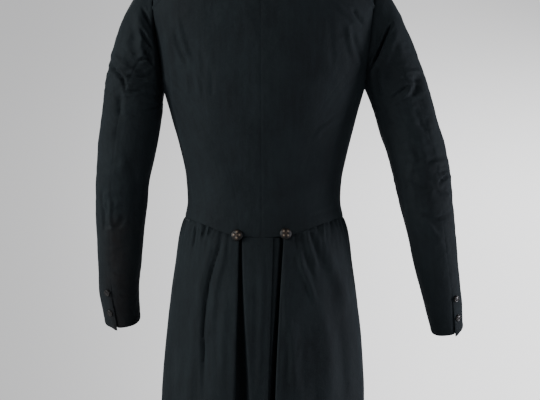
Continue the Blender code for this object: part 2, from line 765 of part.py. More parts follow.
class Arm:
    """One sleeve's form: a head that leaves the armhole, then levels down to the cuff."""

    def __init__(self, rows, hind_seam, fullness):
        self.hind_seam = hind_seam
        self.fullness = fullness
        self.outer = table_curve(rows, "height", "outer")
        self.inner = table_curve(rows, "height", "inner")
        self.middle = table_curve(rows, "height", "middle")
        self.half_depth = table_curve(rows, "height", "half_depth")
        self.top = rows[0].height
        self.cuff = rows[-1].height

    def centre(self, height):
        x = (self.outer(height) + self.inner(height)) / 2
        return np.array((x, self.middle(height), height))

    def ring(self, height, spot):
        """A point of the level whose middle is at height, square to the arm."""
        axis = self.centre(min(height + 8, self.top)) - self.centre(max(height - 8, self.cuff))
        axis /= np.linalg.norm(axis)
        out = np.array((1.0, 0.0, 0.0)) - axis[0] * axis
        out /= np.linalg.norm(out)
        back = np.cross(axis, out)
        power = 2 / 2.15
        c = math.cos(math.radians(spot))
        s = math.sin(math.radians(spot))
        wide = (self.outer(height) - self.inner(height)) / 2 * out[0]
        deep = self.half_depth(height)
        across = math.copysign(abs(c) ** power, c) * wide
        along = math.copysign(abs(s) ** power, s) * deep
        return self.centre(height) + out * across + back * along

    def head(self, share, spot):
        """A point between the armhole and the first level."""
        turn, height = armhole(spot)
        start = figure_point(turn, height) + figure_normal(turn, height) * HEAD_LIFT
        end = self.ring(self.top, spot)
        lift = (1 + math.cos(math.radians(spot))) / 2
        sway = 0.22 * math.sin(math.radians(spot))
        leave = np.array((mix(0.45, 1.0, lift), sway, mix(-0.9, -0.3, lift)))
        leave /= np.linalg.norm(leave)
        arrive = self.ring(self.top - 6, spot) - end
        arrive /= np.linalg.norm(arrive)
        pull = np.linalg.norm(end - start) * self.fullness
        t = share
        return (
            start * (1 + 2 * t) * (1 - t) ** 2
            + leave * pull * t * (1 - t) ** 2
            + end * t * t * (3 - 2 * t)
            + arrive * pull * t * t * (t - 1)
        )

    def point(self, step, spot):
        """A point by steps down the sleeve, the first ones in its head."""
        if step < HEAD_ROWS:
            return self.head(max(step, 0.0) / HEAD_ROWS, spot)
        share = min((step - HEAD_ROWS) / ARM_ROWS, 1.0)
        return self.ring(mix(self.top, self.cuff, share), spot)

    def normal(self, step, spot):
        across = self.point(step, spot + 3) - self.point(step, spot - 3)
        down = self.point(step + 0.3, spot) - self.point(step - 0.3, spot)
        normal = np.cross(down, across)
        return normal / np.linalg.norm(normal)

    def seam(self, share):
        """The hind seam's spot, by the share of the way down the sleeve."""
        return mix(HIND_SEAM_HEAD, self.hind_seam, ease(share / 0.45))

    def vent(self, height):
        """Half of the vent's width as an angle, which opens above the cuff."""
        opened = ease((self.cuff + CUFF_VENT - height) / CUFF_VENT)
        return math.degrees(CUFF_VENT_WIDTH / 2 * opened / self.half_depth(height))


def make_sleeve(side, arm):
    """A top sleeve and an under sleeve, joined by the hind and fore seams."""
    steps = HEAD_ROWS + ARM_ROWS
    for part, cells in (("top", TOP_SLEEVE_CELLS), ("under", UNDER_SLEEVE_CELLS)):
        points = np.zeros((steps + 1, cells + 1, 3))
        normals = np.zeros_like(points)
        for step in range(steps + 1):
            seam = arm.seam(step / steps)
            opening = arm.vent(mix(arm.top, arm.cuff, (step - HEAD_ROWS) / ARM_ROWS))
            first, last = FORE_SEAM - 360, seam - opening
            if part == "under":
                first, last = seam + opening, FORE_SEAM
            for i in range(cells + 1):
                spot = mix(first, last, i / cells)
                points[step, i] = arm.point(step, spot)
                normals[step, i] = arm.normal(step, spot)
        cloth("sleeve_" + part + "_" + side, trim(points, sides="lr"), normals, side == "right")


def seat_on(panels, aim, normal, size):
    """Where a button's shank meets the highest of the panels below it."""
    aside = np.cross(normal, (0.0, 0.0, 1.0))
    aside /= np.linalg.norm(aside)
    upward = np.cross(aside, normal)
    highest = None
    for name in panels:
        mesh = bpy.data.objects[name].data
        corners = [v.co for v in mesh.vertices]
        tree = BVHTree.FromPolygons(corners, [p.vertices for p in mesh.polygons])
        for across, up in ((0, 0), (1, 0), (-1, 0), (0, 1), (0, -1)):
            start = aim + normal * 20 + (aside * across + upward * up) * size.shank_radius
            hit = tree.ray_cast(Vector(start) * MM, Vector(-normal), 40 * MM)[0]
            if hit is not None:
                rise = float(np.dot(np.array(hit) / MM - aim, normal))
                highest = rise if highest is None else max(highest, rise)
    return aim + normal * (highest + SEAT_GAP)


def make_button(name, panels, aim, normal, size):
    """A domed button on its shank, turned about the direction that it faces."""
    aim = np.asarray(aim, float)
    normal = np.asarray(normal, float)
    normal /= np.linalg.norm(normal)
    seat = seat_on(panels, aim, normal, size)
    aside = np.cross(normal, (0.0, 0.0, 1.0))
    aside /= np.linalg.norm(aside)
    upward = np.cross(aside, normal)
    head = size.shank
    crown = head + size.rim
    profile = [
        (size.shank_radius, 0.0),
        (size.shank_radius, head),
        (size.radius * 0.86, head),
        (size.radius, head + size.rim * 0.45),
        (size.radius * 0.97, crown),
        (size.radius * 0.72, crown + size.dome * 0.62),
        (size.radius * 0.38, crown + size.dome * 0.92),
    ]
    vertices = [seat]
    for radius, height in profile:
        for k in range(BUTTON_SIDES):
            a = 2 * math.pi * k / BUTTON_SIDES
            out = aside * math.cos(a) + upward * math.sin(a)
            vertices.append(seat + normal * height + out * radius)
    vertices.append(seat + normal * (crown + size.dome))
    faces = []
    for k in range(BUTTON_SIDES):
        after = (k + 1) % BUTTON_SIDES
        faces.append([0, 1 + after, 1 + k])
        for ring in range(len(profile) - 1):
            low = 1 + ring * BUTTON_SIDES
            high = low + BUTTON_SIDES
            faces.append([low + k, low + after, high + after, high + k])
        low = 1 + (len(profile) - 1) * BUTTON_SIDES
        faces.append([low + k, low + after, len(vertices) - 1])
    add_mesh(name, vertices, faces, THREAD_COLOUR, THREAD_ROUGHNESS)


def make_coat_buttons():
    """Two buttons at the back waist, where the pleats start, and two that close the front."""
    for side, place in HIP_BUTTONS.items():
        turn = turn_at(place.x, place.height)
        flip = np.array((1.0 if side == "left" else -1.0, 1.0, 1.0))
        aim = figure_point(turn, place.height) * flip
        normal = figure_normal(turn, place.height) * flip
        panels = [panel + side for panel in ("back_", "side_body_", "skirt_")]
        make_button("hip_button_" + side, panels, aim, normal, COAT_BUTTON)
    for name, height in FRONT_BUTTON_HEIGHTS.items():
        aim = figure_point(180, height)
        normal = figure_normal(180, height)
        make_button("front_button_" + name, ["forepart_left"], aim, normal, COAT_BUTTON)


def make_cuff_buttons(side, arm):
    """Two small buttons beside each cuff vent, on the top sleeve."""
    flip = np.array((1.0 if side == "left" else -1.0, 1.0, 1.0))
    for name, rise in CUFF_BUTTON_RISES.items():
        step = HEAD_ROWS + ARM_ROWS * (1 - rise / (arm.top - arm.cuff))
        spot = arm.hind_seam - CUFF_BUTTON_INSET
        aim = arm.point(step, spot) * flip
        normal = arm.normal(step, spot) * flip
        label = f"cuff_button_{name}_{side}"
        make_button(label, ["sleeve_top_" + side], aim, normal, CUFF_BUTTON)


def main():
    for piece in list(bpy.data.objects):
        bpy.data.objects.remove(piece, do_unlink=True)
    make_backs()
    make_side_bodies()
    make_foreparts()
    make_lapels()
    make_collar()
    for side, folds, pleats in (("left", FOLDS_LEFT, PLEAT_LEFT), ("right", FOLDS_RIGHT, PLEAT_RIGHT)):
        make_skirt(side, folds, pleats)
        make_tail(side, folds, pleats)
    for side, rows, hind, fullness in (
        ("left", SLEEVE_LEFT, HIND_SEAM_LEFT, HEAD_FULLNESS_LEFT),
        ("right", SLEEVE_RIGHT, HIND_SEAM_RIGHT, HEAD_FULLNESS_RIGHT),
    ):
        arm = Arm(rows, hind, fullness)
        make_sleeve(side, arm)
        make_cuff_buttons(side, arm)
    make_coat_buttons()


main()
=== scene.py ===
import math
from collections import namedtuple

import bmesh
import bpy
import numpy as np
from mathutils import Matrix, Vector, noise


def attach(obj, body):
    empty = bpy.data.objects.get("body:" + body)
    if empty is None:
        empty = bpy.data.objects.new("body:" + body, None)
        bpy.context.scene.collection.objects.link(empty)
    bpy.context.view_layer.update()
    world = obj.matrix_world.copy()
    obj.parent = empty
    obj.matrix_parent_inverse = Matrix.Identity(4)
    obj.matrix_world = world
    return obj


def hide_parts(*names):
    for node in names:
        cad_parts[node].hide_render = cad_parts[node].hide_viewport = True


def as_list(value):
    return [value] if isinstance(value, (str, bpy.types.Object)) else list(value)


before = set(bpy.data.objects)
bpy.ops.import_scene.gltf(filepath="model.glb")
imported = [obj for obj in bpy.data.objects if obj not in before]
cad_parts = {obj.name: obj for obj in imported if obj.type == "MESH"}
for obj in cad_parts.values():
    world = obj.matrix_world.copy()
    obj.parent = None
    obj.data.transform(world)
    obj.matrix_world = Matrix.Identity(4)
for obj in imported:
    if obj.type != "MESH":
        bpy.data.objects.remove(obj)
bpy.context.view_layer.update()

# Lengths are in millimetres until a mesh is made, and angles are in degrees.
mm = 0.001
wall = 1.6
lap = 22.0
frontWaist = -505.0
hem = -993.0
seamGap = 0.06
squareness = 2.3
sides = ("left", "right")
mirror = (-1, 1, 1)

Section = namedtuple("Section", "height halfWidth back front")
figureSections = [
    Section(30, 66, 60, 50),
    Section(0, 80, 70, 60),
    Section(-20, 126, 85, 68),
    Section(-40, 161, 95, 76),
    Section(-60, 184, 103, 84),
    Section(-90, 198, 110, 95),
    Section(-120, 203, 115, 104),
    Section(-160, 200, 118, 113),
    Section(-205, 189, 119, 119),
    Section(-250, 176, 118, 122),
    Section(-308, 159.5, 113, 120),
    Section(-360, 146, 105, 114),
    Section(-413, 135.5, 97, 108),
    Section(-448, 133.2, 93, 105),
    Section(-477, 137.5, 94, 106),
    Section(-512, 144.5, 99, 110),
    Section(-555, 150, 110, 116),
    Section(-625, 159, 126, 122),
    Section(-700, 167.5, 137, 127),
    Section(-765, 171.5, 143, 131),
    Section(-800, 172.5, 145, 133),
    Section(hem, 180, 152, 140),
]

SeamHeight = namedtuple("SeamHeight", "turn height")
neckSeam = [
    SeamHeight(0, 8), SeamHeight(30, 6), SeamHeight(60, 0), SeamHeight(90, -1), SeamHeight(112, -3),
]
waistSeam = [
    SeamHeight(0, -512),
    SeamHeight(15, -509),
    SeamHeight(40, -492),
    SeamHeight(65, -481),
    SeamHeight(92, -477),
    SeamHeight(120, -482),
    SeamHeight(150, -494),
    SeamHeight(190, frontWaist),
]
armholeShape = {
    "turn": 92.0, "reachBack": 25.0, "reachFront": 29.0, "middle": -155.0, "halfHeight": 97.0,
}
shoulderSeamSpot = 67.0
backSeamSpot = 112.0
underBackSpot = 150.0
sideSeamTurn = 92.0

SeamPoint = namedtuple("SeamPoint", "x height")
sideBackSeam = [
    SeamPoint(38.5, -509),
    SeamPoint(41, -470),
    SeamPoint(47, -430),
    SeamPoint(59, -380),
    SeamPoint(80, -330),
    SeamPoint(109, -280),
    SeamPoint(144, -232),
]
shoulderSeam = [SeamPoint(100, -30), SeamPoint(140, -62), SeamPoint(179, -98)]
breakHeight = -330.0
rollLine = [
    SeamPoint(-lap, breakHeight),
    SeamPoint(8, -230),
    SeamPoint(38, -130),
    SeamPoint(60, -60),
    SeamPoint(78, -3),
]


def hermite(t, start, leave, end, arrive):
    return (
        start * (1 + 2 * t) * (1 - t) ** 2
        + leave * t * (1 - t) ** 2
        + end * t * t * (3 - 2 * t)
        + arrive * t * t * (t - 1)
    )


def smoothCurve(xs, ys):
    # A curve through the points that never overshoots them.
    order = np.argsort(xs)
    x = np.asarray(xs, float)[order]
    y = np.asarray(ys, float)[order]
    step = np.diff(x)
    slope = np.diff(y) / step
    tangent = np.zeros(len(x))
    tangent[0] = slope[0]
    tangent[-1] = slope[-1]
    for i in range(1, len(x) - 1):
        if slope[i - 1] * slope[i] > 0:
            before = 2 * step[i] + step[i - 1]
            after = step[i] + 2 * step[i - 1]
            tangent[i] = (before + after) / (before / slope[i - 1] + after / slope[i])

    def value(at):
        at = np.clip(at, x[0], x[-1])
        i = np.clip(np.searchsorted(x, at) - 1, 0, len(x) - 2)
        t = (at - x[i]) / step[i]
        return hermite(t, y[i], tangent[i] * step[i], y[i + 1], tangent[i + 1] * step[i])

    return value


def column(rows, key, name):
    return smoothCurve([getattr(r, key) for r in rows], [getattr(r, name) for r in rows])


def ease(t):
    t = np.clip(t, 0.0, 1.0)
    return t * t * (3 - 2 * t)


def mix(a, b, t):
    return a + (b - a) * t


def unit(vectors):
    return vectors / np.linalg.norm(vectors, axis=-1, keepdims=True)


halfWidth = column(figureSections, "height", "halfWidth")
backDepth = column(figureSections, "height", "back")
frontDepth = column(figureSections, "height", "front")
neckHeight = column(neckSeam, "turn", "height")
waistHeight = column(waistSeam, "turn", "height")


def together(a, b):
    return np.broadcast_arrays(np.asarray(a, float), np.asarray(b, float))


def roundedSquare(turn, square):
    # The sine and cosine of a rounded square section.
    s, c = np.sin(np.radians(turn)), np.cos(np.radians(turn))
    return np.sign(s) * np.abs(s) ** (2 / square), np.sign(c) * np.abs(c) ** (2 / square)


def figurePoint(turn, height):
    # Turns go from 0 at the centre of the back to 180 at the centre of the front.
    turn, height = together(turn, height)
    s, c = roundedSquare(turn, squareness)
    depth = np.where(c > 0, backDepth(height), frontDepth(height))
    return np.stack([halfWidth(height) * s, depth * c, height], -1)


def figureNormal(turn, height):
    across = figurePoint(turn + 1, height) - figurePoint(turn - 1, height)
    up = figurePoint(turn, height + 1) - figurePoint(turn, height - 1)
    return unit(np.cross(up, across))


def turnAt(x, height, front=False):
    share = np.minimum(np.abs(x) / halfWidth(height), 1.0) ** (squareness / 2)
    turn = np.sign(x) * np.degrees(np.arcsin(share))
    return 180 - turn if front else turn


def armhole(spot):
    s = np.sin(np.radians(spot))
    reach = np.where(s > 0, armholeShape["reachBack"], armholeShape["reachFront"])
    height = armholeShape["middle"] + armholeShape["halfHeight"] * np.cos(np.radians(spot))
    return np.stack([armholeShape["turn"] - reach * s, height], -1)


# An edge is a function from shares of its length to turns and heights on the figure.
def armholeEdge(first, last):
    return lambda s: armhole(mix(first, last, s))


def curveThrough(points):
    points = np.asarray(points, float)
    along = np.concatenate([[0], np.cumsum(np.linalg.norm(np.diff(points, axis=0), axis=1))])
    curves = [smoothCurve(along, points[:, k]) for k in range(points.shape[1])]
    return lambda s: np.stack([curve(np.asarray(s, float) * along[-1]) for curve in curves], -1)


def onFigure(points, front=False):
    curve = curveThrough(points)

    def edge(s):
        places = curve(s)
        return np.stack([turnAt(places[..., 0], places[..., 1], front), places[..., 1]], -1)

    return edge


def straight(start, end):
    return lambda s: mix(np.array(start, float), np.array(end, float), np.asarray(s, float)[..., None])


def backwards(edge):
    return lambda s: edge(1 - s)


def chain(*parts):
    # Joins edges end to end; each has its share of the whole.
    total = sum(cells for cells, edge in parts)

    def edge(s):
        s = np.asarray(s, float)
        out = np.zeros(s.shape + (2,))
        start = 0.0
        for cells, part in parts:
            share = cells / total
            inside = (s >= start - 1e-9) & (s <= start + share + 1e-9)
            out[inside] = part(np.clip((s[inside] - start) / share, 0, 1))
            start += share
        return out

    return edge


def stops(length, cell, fine=(0.6, 1.5, 2.8)):
    # Shares along a panel, closer together beside its two edges.
    ends = [0.0] + [f / length for f in fine]
    count = max(int((length - 2 * fine[-1]) / cell), 2)
    middle = np.linspace(ends[-1], 1 - ends[-1], count + 1)[1:-1]
    return np.concatenate([ends, middle, 1 - np.array(ends[::-1])])


def fill(bottom, top, left, right, across, up):
    # A grid of turns and heights between four edges whose corners meet.
    b, t, l, r = bottom(across), top(across), left(up), right(up)
    u = across[None, :, None]
    v = up[:, None, None]
    corners = mix(mix(b[0], b[-1], u), mix(t[0], t[-1], u), v)
    return mix(l[:, None], r[:, None], u) + mix(b[None], t[None], v) - corners


def sideBackEdge():
    end = armhole(backSeamSpot)
    rows = sideBackSeam + [SeamPoint(figurePoint(end[0], end[1])[0], end[1])]
    start = turnAt(rows[0].x, rows[0].height)
    low = [SeamPoint(rows[0].x, float(waistHeight(start)))]
    return onFigure(low + rows[1:])


def shoulderEdge():
    start = neckSeam[2].turn
    first = figurePoint(start, neckHeight(start))
    end = armhole(shoulderSeamSpot)
    last = figurePoint(end[0], end[1])
    return onFigure([(first[0], first[2])] + shoulderSeam + [(last[0], last[2])])


def levelEdge(heightAt, first, last):
    def edge(s):
        turn = mix(first, last, np.asarray(s, float))
        return np.stack([turn, heightAt(turn)], -1)

    return edge


def rim(grid, side):
    # The row or column of a grid at its bottom, top, left or right edge, and the next one inward.
    lines = grid if side in "bt" else np.swapaxes(grid, 0, 1)
    return (lines[0], lines[1]) if side in "bl" else (lines[-1], lines[-2])


def trim(points, chosen="btlr"):
    trimmed = points.copy()
    for side in chosen:
        edge, inner = rim(points, side)
        along = unit(np.gradient(edge, axis=0))
        inward = inner - edge
        inward -= (inward * along).sum(axis=1)[:, None] * along
        target = rim(trimmed, side)[0]
        target += unit(inward) * seamGap / 2
    return trimmed


def gridNormals(points):
    return unit(np.cross(np.gradient(points, axis=1), np.gradient(points, axis=0)))


print("figure and edges ready")

# A crease is a soft trough, or a ridge where its lift is above 0, along places of x and height.
Crease = namedtuple("Crease", "line width lift")
creaseSettings = {"places": 11, "early": 0.08, "taper": 0.35, "brim": 1.3}


def creaseRelief(points, creases):
    x, z = points[..., 0], points[..., 2]
    s = creaseSettings
    total = np.zeros(x.shape)
    for crease in creases:
        line = curveThrough(crease.line)(np.linspace(0, 1, s["places"]))
        lengths = np.linalg.norm(np.diff(line, axis=0), axis=1)
        starts = np.concatenate([[0], np.cumsum(lengths)])
        low, high = line.min(axis=0) - 3 * crease.width, line.max(axis=0) + 3 * crease.width
        near = (x > low[0]) & (x < high[0]) & (z > low[1]) & (z < high[1])
        if not near.any():
            continue
        nearest = np.full(near.sum(), 1e9)
        along = np.zeros(near.sum())
        for a, b, length, start in zip(line[:-1], line[1:], lengths, starts):
            dx, dz = x[near] - a[0], z[near] - a[1]
            t = np.clip((dx * (b[0] - a[0]) + dz * (b[1] - a[1])) / length**2, 0, 1)
            away = np.hypot(dx - t * (b[0] - a[0]), dz - t * (b[1] - a[1]))
            closer = away < nearest
            nearest = np.where(closer, away, nearest)
            along = np.where(closer, (start + t * length) / starts[-1], along)
        taper = ease((along + s["early"]) / s["taper"]) * ease((1 + s["early"] - along) / s["taper"])
        off = (nearest / crease.width) ** 2
        # The cloth pushed out of a crease stands up a little on both sides of it.
        total[near] += crease.lift * taper * (1 - s["brim"] * off) * np.exp(-off)
    return total


def softened(creases, place, share):
    # The same creases for a hidden side: each place moved, the lines wider and softer.
    return [Crease([place(x, z) for x, z in c.line], c.width * 1.15, c.lift * share) for c in creases]


def unevenness(points, size, seed):
    places = points.reshape(-1, 3) / np.asarray(size, float) + seed
    values = [noise.noise(Vector(p)) for p in places]
    return np.array(values).reshape(points.shape[:-1])


def edgeDistances(points):
    across = np.linalg.norm(np.diff(points, axis=1), axis=2)
    up = np.linalg.norm(np.diff(points, axis=0), axis=2)
    left = np.concatenate([np.zeros((len(points), 1)), np.cumsum(across, axis=1)], axis=1)
    bottom = np.concatenate([np.zeros((1, points.shape[1])), np.cumsum(up, axis=0)], axis=0)
    return {"l": left, "r": left[:, -1:] - left, "b": bottom, "t": bottom[-1:] - bottom}


seamSettings = {
    "dip": 0.75, "dipWidth": 1.5, "ridge": 0.4, "ridgeAt": 5.0, "ridgeWidth": 2.6,
    "pucker": 0.6, "puckerReach": 9.0, "puckerSize": (7, 7, 7), "puckerSeed": 31.7,
}


def seamRelief(points, seams):
    # A seam is pressed in along its line, stands up where its turnings lie, and puckers a little.
    away = edgeDistances(points)
    s = seamSettings
    pucker = unevenness(points, s["puckerSize"], s["puckerSeed"])
    total = np.zeros(points.shape[:2])
    for side, strength in seams.items():
        d = away[side]
        total -= strength * s["dip"] * np.exp(-((d / s["dipWidth"]) ** 2))
        total += strength * s["ridge"] * np.exp(-(((d - s["ridgeAt"]) / s["ridgeWidth"]) ** 2))
        total += strength * s["pucker"] * pucker * np.exp(-d / s["puckerReach"])
    return total


edgeSettings = {"rim": 2.0, "turning": 6.0, "fade": 4.0, "rise": 0.28}

# A rumple is a patch of short uneven wrinkles about a place of x and height.
Rumple = namedtuple("Rumple", "x height reachX reachHeight lift")
Wave = namedtuple("Wave", "size seed share")
rumpleWaves = (Wave((26, 26, 15), 6.1, 1.0), Wave((11, 11, 8), 8.8, 0.4))
drapeWaves = (
    Wave((85, 85, 130), 2.3, 1.5), Wave((30, 30, 55), 9.6, 0.7), Wave((11, 11, 17), 15.2, 0.26),
)


def rumpleRelief(points, rumples):
    total = np.zeros(points.shape[:2])
    wrinkles = sum(
        w.share * (0.5 - np.abs(unevenness(points, w.size, w.seed)) * 2) for w in rumpleWaves
    )
    for rumple in rumples:
        across = (points[..., 0] - rumple.x) / rumple.reachX
        up = (points[..., 2] - rumple.height) / rumple.reachHeight
        total += rumple.lift * np.exp(-across * across - up * up) * wrinkles
    return total


def drapeRelief(points, strength):
    # The slow unevenness of cloth that has been worn, longer down the cloth than across it.
    return strength * sum(w.share * unevenness(points, w.size, w.seed) for w in drapeWaves)


def seamEdge(points, chosen):
    # A turned and pressed edge: thin at its very rim, full where its turnings lie.
    away = edgeDistances(points)
    s = edgeSettings
    total = np.zeros(points.shape[:2])
    for side in chosen:
        full = ease(away[side] / s["rim"]) * (1 - ease((away[side] - s["turning"]) / s["fade"]))
        total += s["rise"] * full - s["rise"] / 2
    return total


Cloth = namedtuple("Cloth", "piece held restsOn width length area")
pieces = {}


def measured(points):
    # The panel's cut: its widest row, its longest column and its flat area, in metres.
    away = edgeDistances(points)
    a = points[1:, 1:] - points[:-1, :-1]
    b = points[1:, :-1] - points[:-1, 1:]
    area = np.linalg.norm(np.cross(a, b), axis=2).sum() / 2
    return away["l"][:, -1].max() * mm, away["b"][-1].max() * mm, area * mm * mm


def wallOf(points, normals, thick):
    # The places, map and faces of a closed wall about a grid of points.
    rows, columns = points.shape[:2]
    count = rows * columns
    outer, inner = points + normals * thick / 2, points - normals * thick / 2
    places = np.concatenate([outer.reshape(-1, 3), inner.reshape(-1, 3)])
    index = np.arange(count).reshape(rows, columns)
    quads = [index[:-1, :-1], index[:-1, 1:], index[1:, 1:], index[1:, :-1]]
    quads = np.stack(quads, -1).reshape(-1, 4)
    j, i = rows // 2, columns // 2
    across, up = points[j, i] - points[j, i - 1], points[j, i] - points[j - 1, i]
    turned = np.cross(across, up) @ normals[j, i] < 0
    front = quads[:, ::-1] if turned else quads
    loop = np.concatenate([index[0], index[1:, -1], index[-1, -2::-1], index[-2:0:-1, 0]])
    after = np.roll(loop, -1)
    band = np.stack([loop, loop + count, after + count, after], -1)
    band = band[:, ::-1] if turned else band
    away = edgeDistances(points)
    cloth = np.stack([away["l"].ravel(), away["b"].ravel()], -1)
    return places, np.tile(cloth, (2, 1)), np.concatenate([front, front[:, ::-1] + count, band])


turningSettings = {"reach": 4.0, "drop": 0.35, "thick": 0.7}


def turningUnder(points, normals, side, span):
    # The seam turning that lies inside a seam, half under this panel and half under its neighbour.
    t = turningSettings
    edge, inner = rim(points, side)
    out = rim(normals, side)[0]
    first, last = (round(share * (len(edge) - 1)) for share in span)
    edge, inner, out = edge[first : last + 1], inner[first : last + 1], out[first : last + 1]
    along = unit(np.gradient(edge, axis=0))
    across = unit(np.cross(along, out))
    across *= np.sign(((inner - edge) * across).sum(axis=1).mean())
    low = edge - out * (wall / 2 + t["drop"] + t["thick"] / 2)
    strip = np.stack([low + across * t["reach"] * k for k in (1, 0.3, -0.3, -1)], 1)
    return wallOf(strip, np.repeat(out[:, None], 4, axis=1), t["thick"])


armholeHollow = [Crease(((190, -128), (185, -152), (178, -190), (175, -246)), 8.5, -10)]
hollowSettings = {"from": 4.0, "ease": 40.0}


def drawnIn(points):
    # Every piece at the left armhole sinks alike towards the front, so their seams stay together.
    share = ease((points[..., 1] - hollowSettings["from"]) / hollowSettings["ease"])
    return points + (creaseRelief(points, armholeHollow) * share)[..., None] * (0, 1, 0)


def atSide(points, name):
    # Panels are shaped on the wearer's left, and those of the right are turned over.
    return points * mirror if name.endswith("right") else points


def shell(node, points, normals, relief, held, restsOn, wearAndShade=None, turnings=()):
    # A thin wall of cloth about a grid of points, moved out by its relief, in place of a node.
    size = measured(points)
    normals = atSide(normals, node)
    placed = drawnIn(atSide(points, node) + normals * relief[..., None])
    walls = [wallOf(placed, normals, wall)]
    walls += [turningUnder(placed, normals, side, span) for side, span in turnings]
    starts = np.cumsum([0] + [len(w[0]) for w in walls])
    vertices = np.concatenate([w[0] for w in walls]) * mm
    cloth = np.concatenate([w[1] for w in walls]) * mm
    faces = np.concatenate([w[2] + start for w, start in zip(walls, starts)])
    mesh = bpy.data.meshes.new(node)
    mesh.from_pydata(vertices.tolist(), [], faces.tolist())
    corner = np.zeros(len(mesh.loops), int)
    mesh.loops.foreach_get("vertex_index", corner)
    layer = mesh.uv_layers.new(name="clothMap")
    layer.data.foreach_set("uv", cloth[corner].ravel())
    # The share of worn colour, which also paints shade on the lower left sleeve.
    worn = np.zeros(len(vertices))
    if wearAndShade is not None:
        worn[: 2 * wearAndShade.size] = np.tile(wearAndShade.ravel(), 2)
    attribute = mesh.attributes.new("wearAndShade", "FLOAT", "POINT")
    attribute.data.foreach_set("value", worn)
    mesh.shade_smooth()
    mesh.set_sharp_from_angle(angle=math.radians(50))
    piece = bpy.data.objects.new("cloth_" + node, mesh)
    bpy.context.scene.collection.objects.link(piece)
    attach(piece, "root")
    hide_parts(node)
    pieces[node] = Cloth(piece, held, restsOn, *size)


bodySettings = {"cell": 2.8, "drape": 0.8, "creases": 1.5, "sideEase": 40.0}
backCreases = [
    Crease(((176, -127), (164, -161), (157, -201), (152, -252), (151, -306)), 8, 1.5),
    Crease(((151, -151), (140, -189), (125, -219)), 6, -1.8),
    Crease(((144, -134), (134, -179), (120, -213)), 6, 1.7),
    Crease(((104, -189), (99, -213), (98, -240)), 6, -0.9),
    Crease(((113, -230), (108, -250), (106, -271)), 5, 0.8),
    Crease(((89, -220), (84, -243), (84, -274)), 6, -0.8),
    Crease(((132, -226), (127, -247), (128, -271)), 6, 0.8),
    Crease(((-155, -120), (-163, -133), (-175, -147)), 4.5, -2.4),
    Crease(((-127, -113), (-148, -132), (-166, -147)), 6, 1.5),
    Crease(((-146, -145), (-151, -183), (-160, -207), (-172, -217)), 5.5, 1.9),
    Crease(((-156, -162), (-163, -186), (-173, -205)), 5, -2.0),
    Crease(((-115, -137), (-119, -176), (-121, -223)), 6, -0.7),
    Crease(((-129, -298), (-112, -314), (-92, -325)), 5, -0.7),
    Crease(((-117, -315), (-100, -331), (-87, -346)), 6, 0.6),
    Crease(((111, -332), (87, -380), (43, -441)), 24, 1.6),
    Crease(((-117, -346), (-104, -397), (-66, -448)), 22, 1.0),
    Crease(((128, -458), (99, -468), (67, -480)), 5, -0.7),
    Crease(((-139, -458), (-110, -468), (-76, -479)), 5, -0.7),
    Crease(((-178, -159), (-180, -210), (-175, -264)), 7, 0.6),
    Crease(((145, -308), (132, -356), (122, -407)), 9, 0.9),
    Crease(((-151, -298), (-141, -356), (-131, -411)), 9, 0.9),
    Crease(((150, -72), (176, -97), (192, -116), (202, -132)), 3.2, 1.4),
    Crease(((-148, -72), (-176, -98), (-194, -117), (-204, -134)), 3.2, 1.5),
]
frontCreases = softened(backCreases[:7] + backCreases[14:16], lambda x, z: (-x, z - 20), 0.6) + [
    Crease(((-150, -215), (-110, -262), (-52, -330)), 16, 1.6),
    Crease(((150, -215), (108, -258), (30, -335)), 16, 1.5),
    Crease(((-132, -300), (-88, -352), (-24, -402)), 12, -1.2),
    Crease(((130, -305), (86, -350), (12, -392)), 12, -1.3),
    Crease(((-118, -430), (-70, -440), (-28, -428)), 8, 1.0),
    Crease(((118, -430), (70, -438), (8, -426)), 8, 1.0),
]
bodyRumples = [
    Rumple(140, -185, 28, 55, 1.1),
    Rumple(-150, -180, 26, 50, 1.1),
    Rumple(105, -485, 40, 16, 0.6),
    Rumple(-110, -485, 40, 16, 0.6),
]


def backShare(points):
    return ease(points[..., 1] / bodySettings["sideEase"] + 0.5)


def panel(node, grid, seams, restsOn, turnings, lift=None):
    # Creases lie at real places, so a panel of the wearer's right is turned over before its relief.
    points = figurePoint(grid[..., 0], grid[..., 1])
    normals = figureNormal(grid[..., 0], grid[..., 1])
    if lift is not None:
        points = points + normals * lift(points)[..., None]
    points = trim(points)
    real = atSide(points, node)
    back = backShare(real)
    relief = creaseRelief(real, backCreases) * back + creaseRelief(real, frontCreases) * (1 - back)
    relief = relief * bodySettings["creases"] + rumpleRelief(real, bodyRumples)
    relief = relief + drapeRelief(real, bodySettings["drape"]) + seamRelief(real, seams)
    shell(node, points, normals, relief, "hung", restsOn, turnings=turnings)


def makeBacks():
    seamStart = float(sideBackEdge()(np.array([0.0]))[0, 0])
    low = float(waistHeight(0))
    neckEnd = neckSeam[2].turn
    armEdge = armholeEdge(backSeamSpot, shoulderSeamSpot)
    outer = chain((12, sideBackEdge()), (4, armEdge), (8, backwards(shoulderEdge())))
    centre = straight((0, low), (0, float(neckHeight(0))))
    waist, neck = levelEdge(waistHeight, 0, seamStart), levelEdge(neckHeight, 0, neckEnd)
    across, up = stops(140, bodySettings["cell"]), stops(540, bodySettings["cell"])
    grid = fill(waist, neck, centre, outer, across, up)
    for side in sides:
        turnings = [("r", (0, 1))]
        if side == "left":
            turnings += [("l", (0, 1)), ("b", (0.03, 1))]
        panel("back_" + side, grid, {"l": 0.3, "r": 0.15, "b": 0.05}, ["collar"], turnings)


def sideSeamEdge():
    low, high = float(waistHeight(sideSeamTurn)), float(armhole(180)[1])
    return straight((sideSeamTurn, low), (sideSeamTurn, high))


